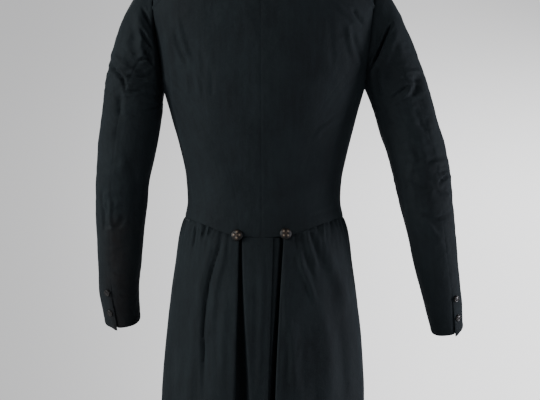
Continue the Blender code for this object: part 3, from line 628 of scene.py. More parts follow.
def makeSideBodies():
    start = float(sideBackEdge()(np.array([0.0]))[0, 0])
    right = chain((9, sideSeamEdge()), (3, armholeEdge(180, underBackSpot)))
    top = armholeEdge(backSeamSpot, underBackSpot)
    waist = levelEdge(waistHeight, start, sideSeamTurn)
    across, up = stops(110, bodySettings["cell"]), stops(290, bodySettings["cell"])
    grid = fill(waist, top, sideBackEdge(), right, across, up)
    seams = {"l": 0.15, "r": 0.3, "b": 0.3, "t": 0.15}
    turnings = [("r", (0, 1)), ("b", (0.06, 0.94)), ("t", (0.06, 0.94))]
    for side in sides:
        panel("side_body_" + side, grid, seams, ["back_" + side], turnings)


underlapSettings = {"depth": 5.6, "ease": 60.0}


def underlap(x):
    # The right front sinks towards its edge, to lie under the left one.
    return -underlapSettings["depth"] * ease(1 - (x - lap) / underlapSettings["ease"])


def frontTurn():
    return float(turnAt(-lap, frontWaist, front=True))


def makeForeparts():
    last = frontTurn()
    low = float(waistHeight(last))
    left = chain((9, sideSeamEdge()), (11, armholeEdge(180, 360 + shoulderSeamSpot)))
    edge = onFigure([(-lap, low), (-lap, breakHeight)], front=True)
    roll = onFigure(rollLine, front=True)
    neckStart = float(roll(np.array([1.0]))[0, 0])
    right = chain((6, edge), (12, roll), (2, levelEdge(neckHeight, neckStart, neckSeam[2].turn)))
    waist, shoulder = levelEdge(waistHeight, sideSeamTurn, last), backwards(shoulderEdge())
    across, up = stops(210, bodySettings["cell"]), stops(600, bodySettings["cell"])
    grid = fill(waist, shoulder, left, right, across, up)

    def under(points):
        return np.where(points[..., 1] < 0, underlap(points[..., 0]), 0.0)

    seams = {"l": 0.3, "b": 0.3, "t": 0.4}
    turnings = [("l", (0.48, 0.99)), ("b", (0.03, 0.97))]
    for side, lift in (("left", None), ("right", under)):
        panel("forepart_" + side, grid, seams, ["back_" + side], turnings, lift)


makeBacks()
makeSideBodies()
makeForeparts()
print("body panels made")

lapelSettings = {
    "start": 0.02, "end": 0.72, "lift": 2.3, "rows": 110, "columns": 26, "roll": 0.7, "inset": 3.0,
    "turned": ((0.0, -0.9), (1.1, -2.2), (2.3, -1.6), (2.3, 2.0)),
    "uneven": 0.35, "unevenSize": (40, 40, 60), "unevenSeed": 4.4,
}
Lapel = namedtuple("Lapel", "along width rise")
lapelShape = [
    Lapel(0.00, 5, 0),
    Lapel(0.15, 21, 4),
    Lapel(0.35, 42, 9),
    Lapel(0.55, 58, 12),
    Lapel(0.70, 64, 14),
]


def makeLapels():
    s = lapelSettings
    width = column(lapelShape, "along", "width")
    rise = column(lapelShape, "along", "rise")
    along = np.linspace(s["start"], s["end"], s["rows"])[:, None]
    roll = curveThrough(rollLine)(along[:, 0])
    for side, drop in (("left", 0.0), ("right", 1.0)):
        lift = [np.full_like(along, t[0]) for t in s["turned"]]
        inset = [np.full_like(along, t[1]) for t in s["turned"]]
        up = [np.zeros_like(along) for t in s["turned"]]
        for share in np.linspace(0, 1, s["columns"])[1:]:
            # The lapel rolls softly off the break and settles onto the front.
            belly = s["roll"] * math.sin(math.pi * share) * (1 - along)
            lift.append(s["lift"] + belly * 2)
            inset.append(mix(s["inset"], width(along), share))
            up.append(share * rise(along))
        lift, inset, up = (np.concatenate(v, axis=1) for v in (lift, inset, up))
        x, height = roll[:, :1] + inset, roll[:, 1:] + up
        turn = turnAt(x, height, front=True)
        lift = lift + drop * underlap(x)
        points = figurePoint(turn, height) + figureNormal(turn, height) * lift[..., None]
        normals = gridNormals(points)
        relief = s["uneven"] * unevenness(points, s["unevenSize"], s["unevenSeed"])
        relief += seamEdge(points, "rbt")
        shell("lapel_" + side, points, normals, relief, "folded", ["forepart_" + side])


collarSettings = {
    "columns": 230, "rows": 34, "lift": 5.6, "gorge": 0.77, "length": 90,
    "frontDrop": -2.4, "backRise": 0.95, "frontInset": 1.9, "lean": 2.0,
    "browOut": 4.5, "browUp": 2.0, "cheekOut": 9.0, "cheekDown": 1.5, "belly": 1.8,
    "uneven": 0.5, "unevenSize": (45, 45, 30), "unevenSeed": 9.1,
}
CollarRow = namedtuple("CollarRow", "along stand fallTurn fallHeight")
collarShape = [
    CollarRow(0.00, 4, 152, -92),
    CollarRow(0.14, 9, 141, -52),
    CollarRow(0.30, 20, 120, -24),
    CollarRow(0.48, 27, 85, -16),
    CollarRow(0.62, 30, 56, -14),
    CollarRow(0.82, 31, 26, -12),
    CollarRow(1.00, 31, 0, -11),
]


def makeCollar():
    # Stand and fall in one, from gorge to gorge round the neck.
    s = collarSettings
    stand = column(collarShape, "along", "stand")
    fallTurn = column(collarShape, "along", "fallTurn")
    fallHeight = column(collarShape, "along", "fallHeight")
    roll = curveThrough(rollLine)(np.linspace(s["gorge"], 1, 15))
    base = [figurePoint(turnAt(x, h, front=True), h) for x, h in roll]
    last = float(turnAt(roll[-1][0], roll[-1][1], front=True))
    for turn in last * (1 - np.arange(1, 13) / 12):
        base.append(figurePoint(turn, neckHeight(turn)))
    along = np.linspace(0, 1, s["columns"] // 2)
    foot = curveThrough(base)(along)
    outward = unit(foot * (1, 1, 0))
    up = np.array((0.0, 0.0, 1.0))
    # The foot lies inside the front's edge at the gorge and stands on the neck seam farther round.
    rounded = ease((along - 0.2) / 0.2)[:, None]
    foot = foot + up * mix(s["frontDrop"], s["backRise"], rounded)
    foot = foot - outward * s["frontInset"] * (1 - rounded)
    crest = foot + up * stand(along)[:, None] - outward * s["lean"]
    height, turn = fallHeight(along), fallTurn(along)
    brim = figurePoint(turn, height) + figureNormal(turn, height) * s["lift"]
    brow = crest + outward * s["browOut"] + up * s["browUp"]
    cheek = crest + outward * s["cheekOut"] - up * s["cheekDown"]
    middle = (cheek + brim) / 2 + (outward + up) * s["belly"]
    ribs = np.stack([foot, (foot + crest) / 2, crest, brow, cheek, middle, brim], 0)
    shares = stops(s["length"], s["length"] / s["rows"], (0.6, 1.6))
    half = np.stack([curveThrough(ribs[:, k])(shares) for k in range(len(along))], 1)
    points = np.concatenate([half, half[:, -2::-1] * mirror], axis=1)
    relief = s["uneven"] * unevenness(points, s["unevenSize"], s["unevenSeed"])
    relief += seamEdge(points, "tlr")
    shell("collar", points, -gridNormals(points), relief, "folded", ["back_left", "back_right"])


# A fold's centre runs from one turn at the waist to another at the hem.
Fold = namedtuple("Fold", "turnTop turnHem spread lift start")
# A pleat at a share of the way down: the places of its fold, root, deepest line and edges.
Pleat = namedtuple("Pleat", "down fold underlay valley shoulder vent")
skirtSettings = {
    "cell": 3.3, "length": 500, "seamGap": 0.2, "spring": 4.0, "springReach": 9.0,
    "turnTop": 1.3, "turnHem": 2.6, "underlayRows": 12, "turnRows": 13,
    "creases": 1.5, "drape": 0.9, "hemFade": 20.0,
}
tailSettings = {
    "cell": 2.6, "width": 90, "reach": 45.0, "setBack": 10.0, "under": (2.3, 5.0),
    "flank": ((0.07, 0.28), (0.17, 0.75)), "valleyAt": 0.40, "valleyMore": 4.0,
    "rise": (0.70, 0.35), "joinMore": 2.0, "clear": 0.45,
    "drape": 0.35, "hemFade": 25.0, "relief": 0.8,
}
skirtSides = {
    "left": {
        "folds": [
            Fold(27, 35, 4.5, -3.2, 0.02),
            Fold(33, 42, 5.5, 2.4, 0.03),
            Fold(52, 58, 8.0, -2.6, 0.20),
            Fold(70, 74, 9.0, 3.4, 0.12),
            Fold(90, 92, 9.0, -3.4, 0.18),
            Fold(110, 112, 10.0, 3.8, 0.15),
            Fold(133, 134, 10.0, -3.2, 0.25),
            Fold(155, 154, 9.0, 2.4, 0.25),
        ],
        "pleat": [
            Pleat(0.00, 38.5, 3.0, 1.5, 33.0, -20.0),
            Pleat(0.20, 39.5, 14.0, 11.0, 28.0, -18.0),
            Pleat(0.60, 43.5, 27.0, 22.0, 17.0, -12.5),
            Pleat(1.00, 47.0, 34.0, 30.0, 12.0, -9.0),
        ],
        "creases": [
            Crease((
                (67, -496), (72, -533), (84, -564), (92, -601),
                (96, -639), (98, -678), (98, -731), (97, -792),
            ), 4.6, -2.6),
            Crease(((78, -509), (92, -547), (104, -594), (109, -652)), 8, 1.6),
            Crease(((58, -516), (67, -554), (78, -598), (85, -669)), 7, 1.3),
            Crease(((114, -480), (116, -506), (121, -538)), 3.5, -1.6),
            Crease(((125, -479), (126, -492), (130, -509)), 3.5, 1.4),
            Crease(((106, -484), (104, -497), (106, -516)), 3.5, 1.3),
            Crease(((97, -485), (97, -499), (101, -513)), 3, -1.1),
            Crease(((89, -487), (92, -499), (94, -516)), 3, 1.1),
            Crease(((78, -487), (85, -499), (90, -509)), 3, -1.3),
            Crease(((55, -499), (56, -519), (60, -547)), 4, -1.0),
            Crease(((94, -680), (92, -735), (91, -800)), 9, -1.1),
            Crease(((133, -477), (136, -492), (140, -513)), 3.5, -1.4),
            Crease(((131, -618), (125, -646), (131, -676)), 9, -1.0),
            Crease(((145, -669), (140, -721), (145, -782)), 10, 1.2),
            Crease(((61, -618), (65, -686), (68, -782)), 9, 0.9),
        ],
    },
    "right": {
        "folds": [
            Fold(14, 20, 3.5, 2.0, 0.05),
            Fold(21, 28, 4.0, -2.4, 0.06),
            Fold(28, 37, 4.5, 2.4, 0.02),
            Fold(38, 50, 6.0, -3.0, 0.04),
            Fold(48, 72, 7.0, 3.6, 0.06),
            Fold(72, 92, 8.0, -3.2, 0.15),
            Fold(100, 112, 10.0, 3.6, 0.15),
            Fold(130, 134, 10.0, -3.2, 0.25),
            Fold(155, 154, 9.0, 2.4, 0.25),
        ],
        "pleat": [
            Pleat(0.00, 38.5, 3.0, 1.5, 31.0, -8.0),
            Pleat(0.20, 33.0, 14.0, 9.0, 25.0, -8.0),
            Pleat(0.60, 25.5, 27.0, 20.0, 15.0, -8.0),
            Pleat(1.00, 23.5, 34.0, 28.0, 12.0, -8.0),
        ],
        "creases": [
            Crease(((-75, -496), (-80, -523), (-87, -543), (-97, -567)), 5, 1.8),
            Crease(((-63, -533), (-71, -567), (-85, -598), (-93, -626)), 6, 1.8),
            Crease(((-71, -533), (-80, -558), (-92, -584)), 4.5, -1.5),
            Crease(((-83, -496), (-88, -516), (-97, -540)), 4.5, -1.5),
            Crease(((-104, -519), (-118, -557), (-134, -594), (-144, -640)), 14, 3.4),
            Crease(((-138, -516), (-150, -553), (-160, -591)), 8, -0.9),
            Crease(((-42, -618), (-50, -674), (-55, -723), (-58, -791)), 8, 1.2),
            Crease(((-66, -638), (-71, -708), (-76, -791)), 11, -1.2),
            Crease(((-42, -533), (-41, -652), (-36, -788)), 5, 0.8),
            Crease(((-97, -480), (-95, -492), (-97, -509)), 3, -1.5),
            Crease(((-105, -479), (-105, -492), (-107, -509)), 3, 1.3),
            Crease(((-116, -477), (-117, -492), (-121, -513)), 3, -1.5),
            Crease(((-126, -477), (-127, -489), (-131, -506)), 3, 1.2),
            Crease(((-134, -475), (-138, -489), (-143, -506)), 3, -1.3),
            Crease(((-58, -501), (-59, -516), (-63, -536)), 4, -1.0),
            Crease(((-104, -635), (-116, -694), (-122, -788)), 10, 1.2),
            Crease(((-131, -652), (-139, -711), (-143, -788)), 10, -1.4),
        ],
    },
}
tailCreases = [
    Crease(((-2, -533), (-2, -618), (2, -720), (5, -791)), 7, 0.9),
    Crease(((12, -553), (8, -618), (8, -703), (10, -791)), 6, -0.7),
]
gatherSettings = {
    "first": 24.0, "last": 88.0, "soft": 8.0, "frontFirst": 96.0, "frontLast": 150.0,
    "frontShare": 0.5, "pitch": 5.2, "sway": 1.3, "swayTurn": 7.0, "lift": 0.9, "reach": 34.0,
    "start": 6.0,
}


def gathers(turn, drop):
    # Small waves below the waist seam: full at the sides, half as high on the front.
    g = gatherSettings
    inside = ease((turn - g["first"]) / g["soft"]) * ease((g["last"] - turn) / g["soft"])
    front = ease((turn - g["frontFirst"]) / 10) * ease((g["frontLast"] - turn) / 20)
    amount = inside + g["frontShare"] * front
    wave = np.sin(2 * np.pi * turn / g["pitch"] + g["sway"] * np.sin(turn / g["swayTurn"]))
    return g["lift"] * amount * wave * np.exp(-drop / g["reach"]) * ease(drop / g["start"])


foldSettings = {"fanEnd": 0.55, "fanBend": 0.7, "growth": 0.75, "half": 0.5}


def foldLift(folds, turn, down):
    # Folds fan out from the waist and stand higher towards the hem.
    s = foldSettings
    total = np.zeros(np.broadcast(turn, down).shape)
    for fold in folds:
        fan = np.minimum(1.0, down / s["fanEnd"]) ** s["fanBend"]
        centre = mix(fold.turnTop, fold.turnHem, fan)
        growth = ease((down - fold.start) / s["half"]) * s["growth"]
        growth = growth + ease((down - s["half"]) / s["half"]) * s["growth"]
        total = total + fold.lift * growth * np.exp(-(((turn - centre) / fold.spread) ** 2))
    return total


def skirtPoint(folds, turn, down, depth=0.0):
    s = skirtSettings
    seam = waistHeight(turn) - s["seamGap"]
    height = mix(seam, hem, down)
    drop = seam - height
    lift = s["spring"] * (1 - np.exp(-drop / s["springReach"])) + gathers(turn, drop)
    lift = lift + foldLift(folds, turn, down) - depth
    return figurePoint(turn, height) + figureNormal(turn, height) * lift[..., None]


def skirtTurnAt(x, down):
    start = float(turnAt(sideBackSeam[0].x, sideBackSeam[0].height))
    return turnAt(x, mix(float(waistHeight(start)), hem, down))


def downShares():
    return stops(skirtSettings["length"], skirtSettings["cell"], (0.6, 1.5, 3.0, 5.0, 7.5))[:, None]


def turnRadius(down):
    return mix(skirtSettings["turnTop"], skirtSettings["turnHem"], ease(down / 0.4))


def pointingOut(normals):
    # Columns near the last one lie on the front, where out is towards -y.
    middle = normals[normals.shape[0] // 2, -30]
    return -normals if middle[1] > 0 else normals


def makeSkirt(side):
    # From the pleat's underlay, round the turn of its fold, and on to the front's edge.
    s = skirtSettings
    facts = skirtSides[side]
    folds, pleat = facts["folds"], facts["pleat"]
    down = downShares()
    edge = column(pleat, "down", "fold")(down)
    underlay = column(pleat, "down", "underlay")(down)
    radius = turnRadius(down)
    strips = []
    for share in np.linspace(1.0, 0.1, s["underlayRows"]):
        turn = skirtTurnAt(edge + radius + underlay * share, down)
        strips.append(skirtPoint(folds, turn, down, 2 * radius))
    for bend in np.radians(np.linspace(90, -60, s["turnRows"])):
        turn = skirtTurnAt(edge + radius * (1 - math.cos(bend)), down)
        strips.append(skirtPoint(folds, turn, down, radius * (1 + math.sin(bend))))
    first = skirtTurnAt(edge + radius * 1.2, down)
    around = mix(first, frontTurn(), stops(520, s["cell"], (1.0, 2.2))[None, :])
    depth = np.zeros(around.shape)
    if side == "right":
        flat = figurePoint(around, mix(frontWaist, hem, down))
        depth = np.where(flat[..., 1] < 0, -underlap(flat[..., 0]), 0.0)
    outside = skirtPoint(folds, around, np.broadcast_to(down, around.shape), depth)
    strips = [strip.reshape(-1, 1, 3) for strip in strips]
    points = trim(np.concatenate(strips + [outside], axis=1), "b")
    normals = pointingOut(gridNormals(points))
    # The underlay stays flat; only what shows is creased.
    shown = np.zeros(points.shape[:2])
    shown[:, len(strips) - 4 :] = 1
    real = atSide(points, side)
    relief = creaseRelief(real, facts["creases"]) * backShare(real) * shown * s["creases"]
    relief += drapeRelief(real, s["drape"]) * shown * ease(edgeDistances(points)["b"] / s["hemFade"])
    relief += seamRelief(points, {"b": 0.4}) * shown + seamEdge(points, "tr")
    restsOn = ["side_body_" + side, "forepart_" + side]
    shell("skirt_" + side, points, normals, relief, "gathered", restsOn)


def makeTail(side):
    # From the vent's edge to the root of the pleat, below the skirt's underlay.
    facts = skirtSides[side]
    folds, pleat = facts["folds"], facts["pleat"]
    s = tailSettings
    down = downShares()
    shape = {name: column(pleat, "down", name)(down) for name in Pleat._fields[1:]}
    seam = float(waistHeight(0)) - skirtSettings["seamGap"]
    height = mix(seam, hem, down)
    spring = skirtSettings["spring"] * (1 - np.exp(-(seam - height) / s["reach"]))
    rest = s["setBack"] * ease(down / 0.7)
    if side == "right":
        rest = rest + mix(s["under"][0], s["under"][1], down)
    radius = turnRadius(down)
    deep = rest + shape["valley"] + s["valleyMore"]
    end = shape["fold"] + radius + shape["underlay"]
    joined = 2 * radius + wall + s["clear"] - foldLift(folds, turnAt(end, height), down)
    start = shape["shoulder"]
    run = end - start
    # Flat from the vent to the shoulder, then steeply down to the valley and up to the root.
    path = [(mix(shape["vent"], start, k / 4), rest) for k in range(5)]
    path += [(start + run * at, mix(rest, deep, share)) for at, share in s["flank"]]
    at, share = s["rise"]
    path += [
        (start + run * s["valleyAt"], deep),
        (start + run * at, mix(deep, joined + s["joinMore"], share)),
        (end, joined),
    ]
    x = np.concatenate([p[0] for p in path], axis=1)
    depth = np.concatenate([np.broadcast_to(p[1], down.shape) for p in path], axis=1)
    places = np.stack([x, depth], -1)
    shares = stops(s["width"], s["cell"], (0.6, 1.5))
    places = np.stack([curveThrough(row)(shares) for row in places], 0)
    turn = turnAt(places[..., 0], height)
    lift = (spring - places[..., 1])[..., None]
    points = figurePoint(turn, height) + figureNormal(turn, height) * lift
    normals = gridNormals(points)
    normals = normals if normals[60, 8, 1] > 0 else -normals
    real = atSide(points, side)
    relief = creaseRelief(real, tailCreases)
    relief += drapeRelief(real, s["drape"]) * ease(edgeDistances(points)["b"] / s["hemFade"])
    relief += seamEdge(points, "lt") + seamRelief(points, {"b": 0.05})
    shell("tail_" + side, points, normals, relief * s["relief"], "hung", ["back_" + side])


makeLapels()
makeCollar()
for side in sides:
    makeSkirt(side)
    makeTail(side)
print("lapels, collar, skirts and tails made")

Sleeve = namedtuple("Sleeve", "height outer inner middle halfDepth")
sleeveSettings = {
    "headRows": 6, "armRows": 11, "lift": 0.9, "squareness": 2.15, "length": 520, "cell": 2.3,
    "topWidth": 190, "underWidth": 130, "creases": 1.35, "foreSeam": 235.0, "hindHead": 100.0,
    "vent": 78.0, "ventWidth": 3.6, "drape": 1.3, "flapOver": 1.5, "flapLift": 2.1,
    "flapDrop": 3.5, "flapWidth": 9.0, "tuck": 1.6, "tuckWidth": 3.5, "hindEase": 16.0,
    "headFade": 14.0, "cuffFade": 10.0, "drapeFade": 12.0,
    "headOut": (0.45, 1.0), "headDown": (-0.9, -0.3), "headSway": 0.22, "seamBend": 0.45,
}
sleeveSides = {
    "left": {
        "hindSeam": 74.0,
        "fullness": 0.85,
        "levels": [
            Sleeve(-290, 284.0, 179.0, 2, 63),
            Sleeve(-325, 287.5, 183.5, 6, 60),
            Sleeve(-360, 291.5, 189.0, 10, 57),
            Sleeve(-413, 293.5, 201.0, 11, 53),
            Sleeve(-448, 295.0, 205.0, 6, 50),
            Sleeve(-500, 295.5, 213.0, -7, 46),
            Sleeve(-553, 294.0, 217.0, -22, 42),
            Sleeve(-605, 293.0, 222.0, -38, 38),
            Sleeve(-640, 287.5, 222.0, -50, 36),
            Sleeve(-661, 283.5, 222.5, -58, 35),
        ],
        "creases": [
            Crease(((270, -202), (256, -224), (241, -240), (236, -262)), 4.5, -3.8),
            Crease(((262, -195), (244, -212), (227, -224)), 8, 2.4),
            Crease(((211, -153), (204, -171), (208, -192)), 6, -1.8),
            Crease(((236, -232), (213, -236), (190, -229)), 4.5, -2.8),
            Crease(((239, -243), (213, -247), (187, -240)), 4.0, 2.4),
            Crease(((237, -257), (223, -261), (208, -257)), 4.5, -2.6),
            Crease(((246, -262), (247, -285), (244, -304)), 7, -1.8),
            Crease(((262, -262), (263, -310), (262, -350)), 13, 1.8),
            Crease(((204, -292), (194, -289), (182, -283)), 4, -1.6),
            Crease(((236, -299), (222, -302), (206, -306)), 7, -0.9),
            Crease(((194, -128), (183, -165), (177, -205), (175, -250)), 10, -4.0),
            Crease(((217, -118), (209, -165), (205, -215)), 12, 4.2),
            Crease(((210, -114), (198, -136), (183, -158)), 4, -2.8),
            Crease(((212, -150), (200, -172), (188, -186)), 4, -2.4),
            Crease(((193, -208), (204, -203), (214, -208)), 4, -2.6),
            Crease(((206, -188), (196, -200), (190, -216)), 5, -2.4),
            Crease(((270, -440), (264, -455), (266, -480), (262, -502)), 5.5, 1.8),
            Crease(((277, -426), (279, -450), (276, -478), (276, -505)), 4, -1.7),
            Crease(((276, -434), (267, -427), (254, -430)), 4.5, -1.0),
            Crease(((257, -496), (247, -488), (241, -474)), 6, -1.5),
            Crease(((276, -493), (262, -493), (248, -495)), 2.6, -1.0),
            Crease(((276, -500), (262, -500), (248, -502)), 2.6, 0.8),
            Crease(((265, -524), (255, -526), (244, -524)), 3, -0.8),
            Crease(((265, -535), (255, -536), (244, -536)), 3.5, 0.7),
            Crease(((263, -576), (255, -578), (242, -578)), 2.6, -0.8),
            Crease(((255, -614), (244, -616), (234, -614)), 3, -0.7),
            Crease(((246, -358), (241, -382), (244, -410)), 9, 0.9),
            Crease(((223, -379), (220, -431), (227, -483)), 10, -1.2),
        ],
        "rumples": [
            Rumple(215, -215, 45, 60, 2.6),
            Rumple(262, -245, 30, 50, 1.2),
            Rumple(268, -330, 22, 60, 1.0),
            Rumple(262, -450, 26, 50, 1.8),
            Rumple(256, -560, 28, 60, 1.2),
        ],
    },
    "right": {
        "hindSeam": 59.0,
        "fullness": 0.6,
        "levels": [
            Sleeve(-290, 298.0, 191.0, 2, 63),
            Sleeve(-325, 307.0, 201.5, 6, 60),
            Sleeve(-360, 317.0, 214.0, 10, 57),
            Sleeve(-413, 326.5, 228.0, 11, 53),
            Sleeve(-448, 329.5, 236.5, 6, 50),
            Sleeve(-500, 334.0, 249.5, -7, 46),
            Sleeve(-553, 339.0, 261.5, -22, 42),
            Sleeve(-605, 345.0, 275.0, -38, 38),
            Sleeve(-640, 348.0, 284.0, -50, 36),
            Sleeve(-676, 348.5, 294.0, -61, 34),
        ],
        "creases": [
            Crease(((-222, -144), (-210, -170), (-198, -196), (-186, -220)), 3.4, -8.0),
            Crease(((-206, -150), (-197, -178), (-188, -204)), 10, -3.0),
            Crease(((-230, -155), (-220, -189), (-209, -224), (-208, -255)), 8, 2.2),
            Crease(((-224, -124), (-229, -170), (-236, -215)), 16, 2.4),
            Crease(((-222, -165), (-231, -195), (-236, -225)), 7, -0.7),
            Crease(((-272, -236), (-284, -280), (-296, -330)), 11, 2.6),
            Crease(((-266, -228), (-266, -252), (-254, -270)), 8, -2.6),
            Crease(((-262, -290), (-270, -310), (-284, -330)), 8, -1.8),
            Crease(((-196, -217), (-196, -244), (-203, -272)), 7, -3.6),
            Crease(((-189, -161), (-194, -179), (-190, -196)), 5, 1.6),
            Crease(((-220, -274), (-237, -262), (-252, -248)), 4, -2.4),
            Crease(((-225, -284), (-246, -269), (-259, -251)), 4.5, 2.0),
            Crease(((-237, -236), (-254, -241), (-273, -239)), 4.5, -1.8),
            Crease(((-237, -224), (-256, -227), (-275, -224)), 6, 1.4),
            Crease(((-208, -296), (-228, -310), (-256, -320)), 7, 1.0),
            Crease(((-216, -313), (-237, -327), (-261, -332)), 7, -0.9),
            Crease(((-252, -414), (-268, -426), (-287, -431)), 4.5, -2.8),
            Crease(((-261, -403), (-278, -414), (-294, -420)), 5, 2.0),
            Crease(((-302, -420), (-313, -410), (-323, -401)), 4, -3.2),
            Crease(((-285, -391), (-299, -384), (-316, -381)), 6, 2.3),
            Crease(((-292, -401), (-308, -400), (-321, -395)), 4, -1.5),
            Crease(((-302, -431), (-313, -438), (-325, -439)), 5, 1.8),
            Crease(((-273, -472), (-294, -479), (-316, -474), (-326, -465)), 4.5, -2.0),
            Crease(((-302, -484), (-314, -484), (-325, -481)), 3.5, 1.8),
            Crease(((-271, -476), (-289, -493), (-304, -510)), 5, 1.8),
            Crease(((-265, -488), (-278, -501), (-289, -514)), 5, -1.2),
            Crease(((-251, -358), (-259, -379), (-256, -403)), 8, 0.9),
            Crease(((-278, -534), (-289, -577), (-296, -620)), 9, -0.7),
        ],
        "rumples": [
            Rumple(-228, -235, 45, 60, 2.2),
            Rumple(-270, -330, 30, 50, 1.2),
            Rumple(-300, -430, 36, 50, 1.7),
            Rumple(-262, -380, 40, 70, 1.2),
            Rumple(-310, -530, 24, 60, 1.0),
        ],
    },
}
# The worn patch also stands for painted shade: it reaches down through the cuff and its tone is darker
# than the wear alone.
wearAndShadeSettings = {"x": 255, "reachX": 24, "top": -462, "bottom": -700, "soft": 40}


def wornShare(points):
    # How worn the wearer's left forearm is at each place; the same share also carries painted shade
    # down over the lower sleeve and the cuff.
    w = wearAndShadeSettings
    x, z = points[..., 0], points[..., 2]
    tall = ease((w["top"] - z) / w["soft"]) * ease((z - w["bottom"]) / w["soft"] + 0.4)
    return tall * np.exp(-(((x - w["x"]) / w["reachX"]) ** 2))


class Arm:
    def __init__(self, facts):
        rows = facts["levels"]
        self.hindSeam = facts["hindSeam"]
        self.fullness = facts["fullness"]
        self.outer = column(rows, "height", "outer")
        self.inner = column(rows, "height", "inner")
        self.middle = column(rows, "height", "middle")
        self.halfDepth = column(rows, "height", "halfDepth")
        self.top = rows[0].height
        self.cuff = rows[-1].height

    def centre(self, height):
        x = (self.outer(height) + self.inner(height)) / 2
        return np.stack([x, self.middle(height), height], -1)

    def ring(self, height, spot):
        # A point of the level whose middle is at height, square to the arm.
        height, spot = together(height, spot)
        above, below = np.minimum(height + 8, self.top), np.maximum(height - 8, self.cuff)
        axis = unit(self.centre(above) - self.centre(below))
        out = unit(np.array((1.0, 0.0, 0.0)) - axis[..., :1] * axis)
        back = np.cross(axis, out)
        s, c = roundedSquare(spot, sleeveSettings["squareness"])
        wide = (self.outer(height) - self.inner(height)) / 2 * out[..., 0]
        deep = self.halfDepth(height)
        return self.centre(height) + out * (c * wide)[..., None] + back * (s * deep)[..., None]

    def head(self, share, spot):
        # A point between the armhole and the first level.
        share, spot = together(share, spot)
        s = sleeveSettings
        place = armhole(spot)
        start = figurePoint(place[..., 0], place[..., 1])
        start = start + figureNormal(place[..., 0], place[..., 1]) * s["lift"]
        end = self.ring(self.top, spot)
        lift = (1 + np.cos(np.radians(spot))) / 2
        sway = s["headSway"] * np.sin(np.radians(spot))
        leave = unit(np.stack([mix(*s["headOut"], lift), sway, mix(*s["headDown"], lift)], -1))
        arrive = unit(self.ring(self.top - 6, spot) - end)
        pull = (np.linalg.norm(end - start, axis=-1) * self.fullness)[..., None]
        return hermite(share[..., None], start, leave * pull, end, arrive * pull)

    def point(self, step, spot):
        step, spot = together(step, spot)
        headRows, armRows = sleeveSettings["headRows"], sleeveSettings["armRows"]
        head = self.head(np.clip(step / headRows, 0, 1), spot)
        arm = self.ring(mix(self.top, self.cuff, np.clip((step - headRows) / armRows, 0, 1)), spot)
        return np.where((step < headRows)[..., None], head, arm)

    def normal(self, step, spot):
        across = self.point(step, spot + 3) - self.point(step, spot - 3)
        down = self.point(step + 0.3, spot) - self.point(step - 0.3, spot)
        return unit(np.cross(down, across))

    def seam(self, share):
        # The hind seam moves from its place at the armhole to its own line down the arm.
        s = sleeveSettings
        return mix(s["hindHead"], self.hindSeam, ease(share / s["seamBend"]))

    def vent(self, height):
        opened = ease((self.cuff + sleeveSettings["vent"] - height) / sleeveSettings["vent"])
        return np.degrees(sleeveSettings["ventWidth"] / 2 * opened / self.halfDepth(height))


arms = {side: Arm(facts) for side, facts in sleeveSides.items()}


def hiddenCreases(side):
    # The other sleeve's creases, softer and nearer the middle, for the side away from the view.
    other = "right" if side == "left" else "left"
    sign = 1 if side == "left" else -1

    def place(x, height):
        aside = abs(x) - arms[other].centre(height)[0]
        return sign * (arms[side].centre(height)[0] + 0.65 * aside), height

    return softened(sleeveSides[other]["creases"], place, 0.7)


def makeSleeve(side):
    arm = arms[side]
    hidden = hiddenCreases(side)
    s = sleeveSettings
    steps = s["headRows"] + s["armRows"]
    share = np.concatenate([np.linspace(0, 0.01, 4)[:-1], stops(s["length"], s["cell"])[4:]])[:, None]
    step = share * steps
    seam = arm.seam(share)
    opening = arm.vent(mix(arm.top, arm.cuff, (step - s["headRows"]) / s["armRows"]))
    for part in ("top", "under"):
        # The top sleeve's side of the cuff vent laps over the under sleeve's.
        first, last = s["foreSeam"] - 360, seam + opening * s["flapOver"]
        if part == "under":
            first, last = seam + opening, s["foreSeam"]
        spot = mix(first, last, stops(s[part + "Width"], s["cell"])[None, :])
        points = trim(arm.point(step, spot), "lr")
        normals = arm.normal(step, spot)
        stood = np.sqrt(opening / opening.max())
        away = edgeDistances(points)
        if part == "top":
            # The flap's corner hangs a little below the cuff.
            corner = np.exp(-((away["r"] / 8) ** 2) - (away["t"] / 12) ** 2)
            points[..., 2] -= s["flapDrop"] * corner
        real = atSide(points, side)
        hind = ease((real[..., 1] - arm.middle(points[..., 2])) / s["hindEase"] + 0.35)
        relief = creaseRelief(real, sleeveSides[side]["creases"]) * hind
        relief += creaseRelief(real, hidden) * (1 - hind)
        relief = relief * s["creases"] + rumpleRelief(real, sleeveSides[side]["rumples"])
        relief *= ease(away["b"] / s["headFade"]) * ease(away["t"] / s["cuffFade"])
        relief += drapeRelief(real, s["drape"]) * ease(away["b"] / s["drapeFade"])
        relief += seamRelief(points, {"l": 0.3, "r": 0.3, "b": 0.5}) + 2 * seamEdge(points, "t")
        if part == "top":
            relief += s["flapLift"] * stood * np.exp(-((away["r"] / s["flapWidth"]) ** 2))
        else:
            relief -= s["tuck"] * stood * np.exp(-((away["l"] / s["tuckWidth"]) ** 2))
        # The worn share also carries painted shade on the lower sleeve.
        wearAndShade = wornShare(real) * hind if side == "left" else None
        turnings = [("l", (0, 1)), ("r", (0, 1))] if part == "under" else []
        node, restsOn = f"sleeve_{part}_{side}", ["forepart_" + side]
        shell(node, points, normals, relief, "hung", restsOn, wearAndShade, turnings)


for side in sides:
    makeSleeve(side)
print("sleeves made")


def linearPart(value):
    return value / 12.92 if value <= 0.04045 else ((value + 0.055) / 1.055) ** 2.4


def toLinear(code):
    return tuple(linearPart(int(code[i : i + 2], 16) / 255) for i in (0, 2, 4)) + (1.0,)


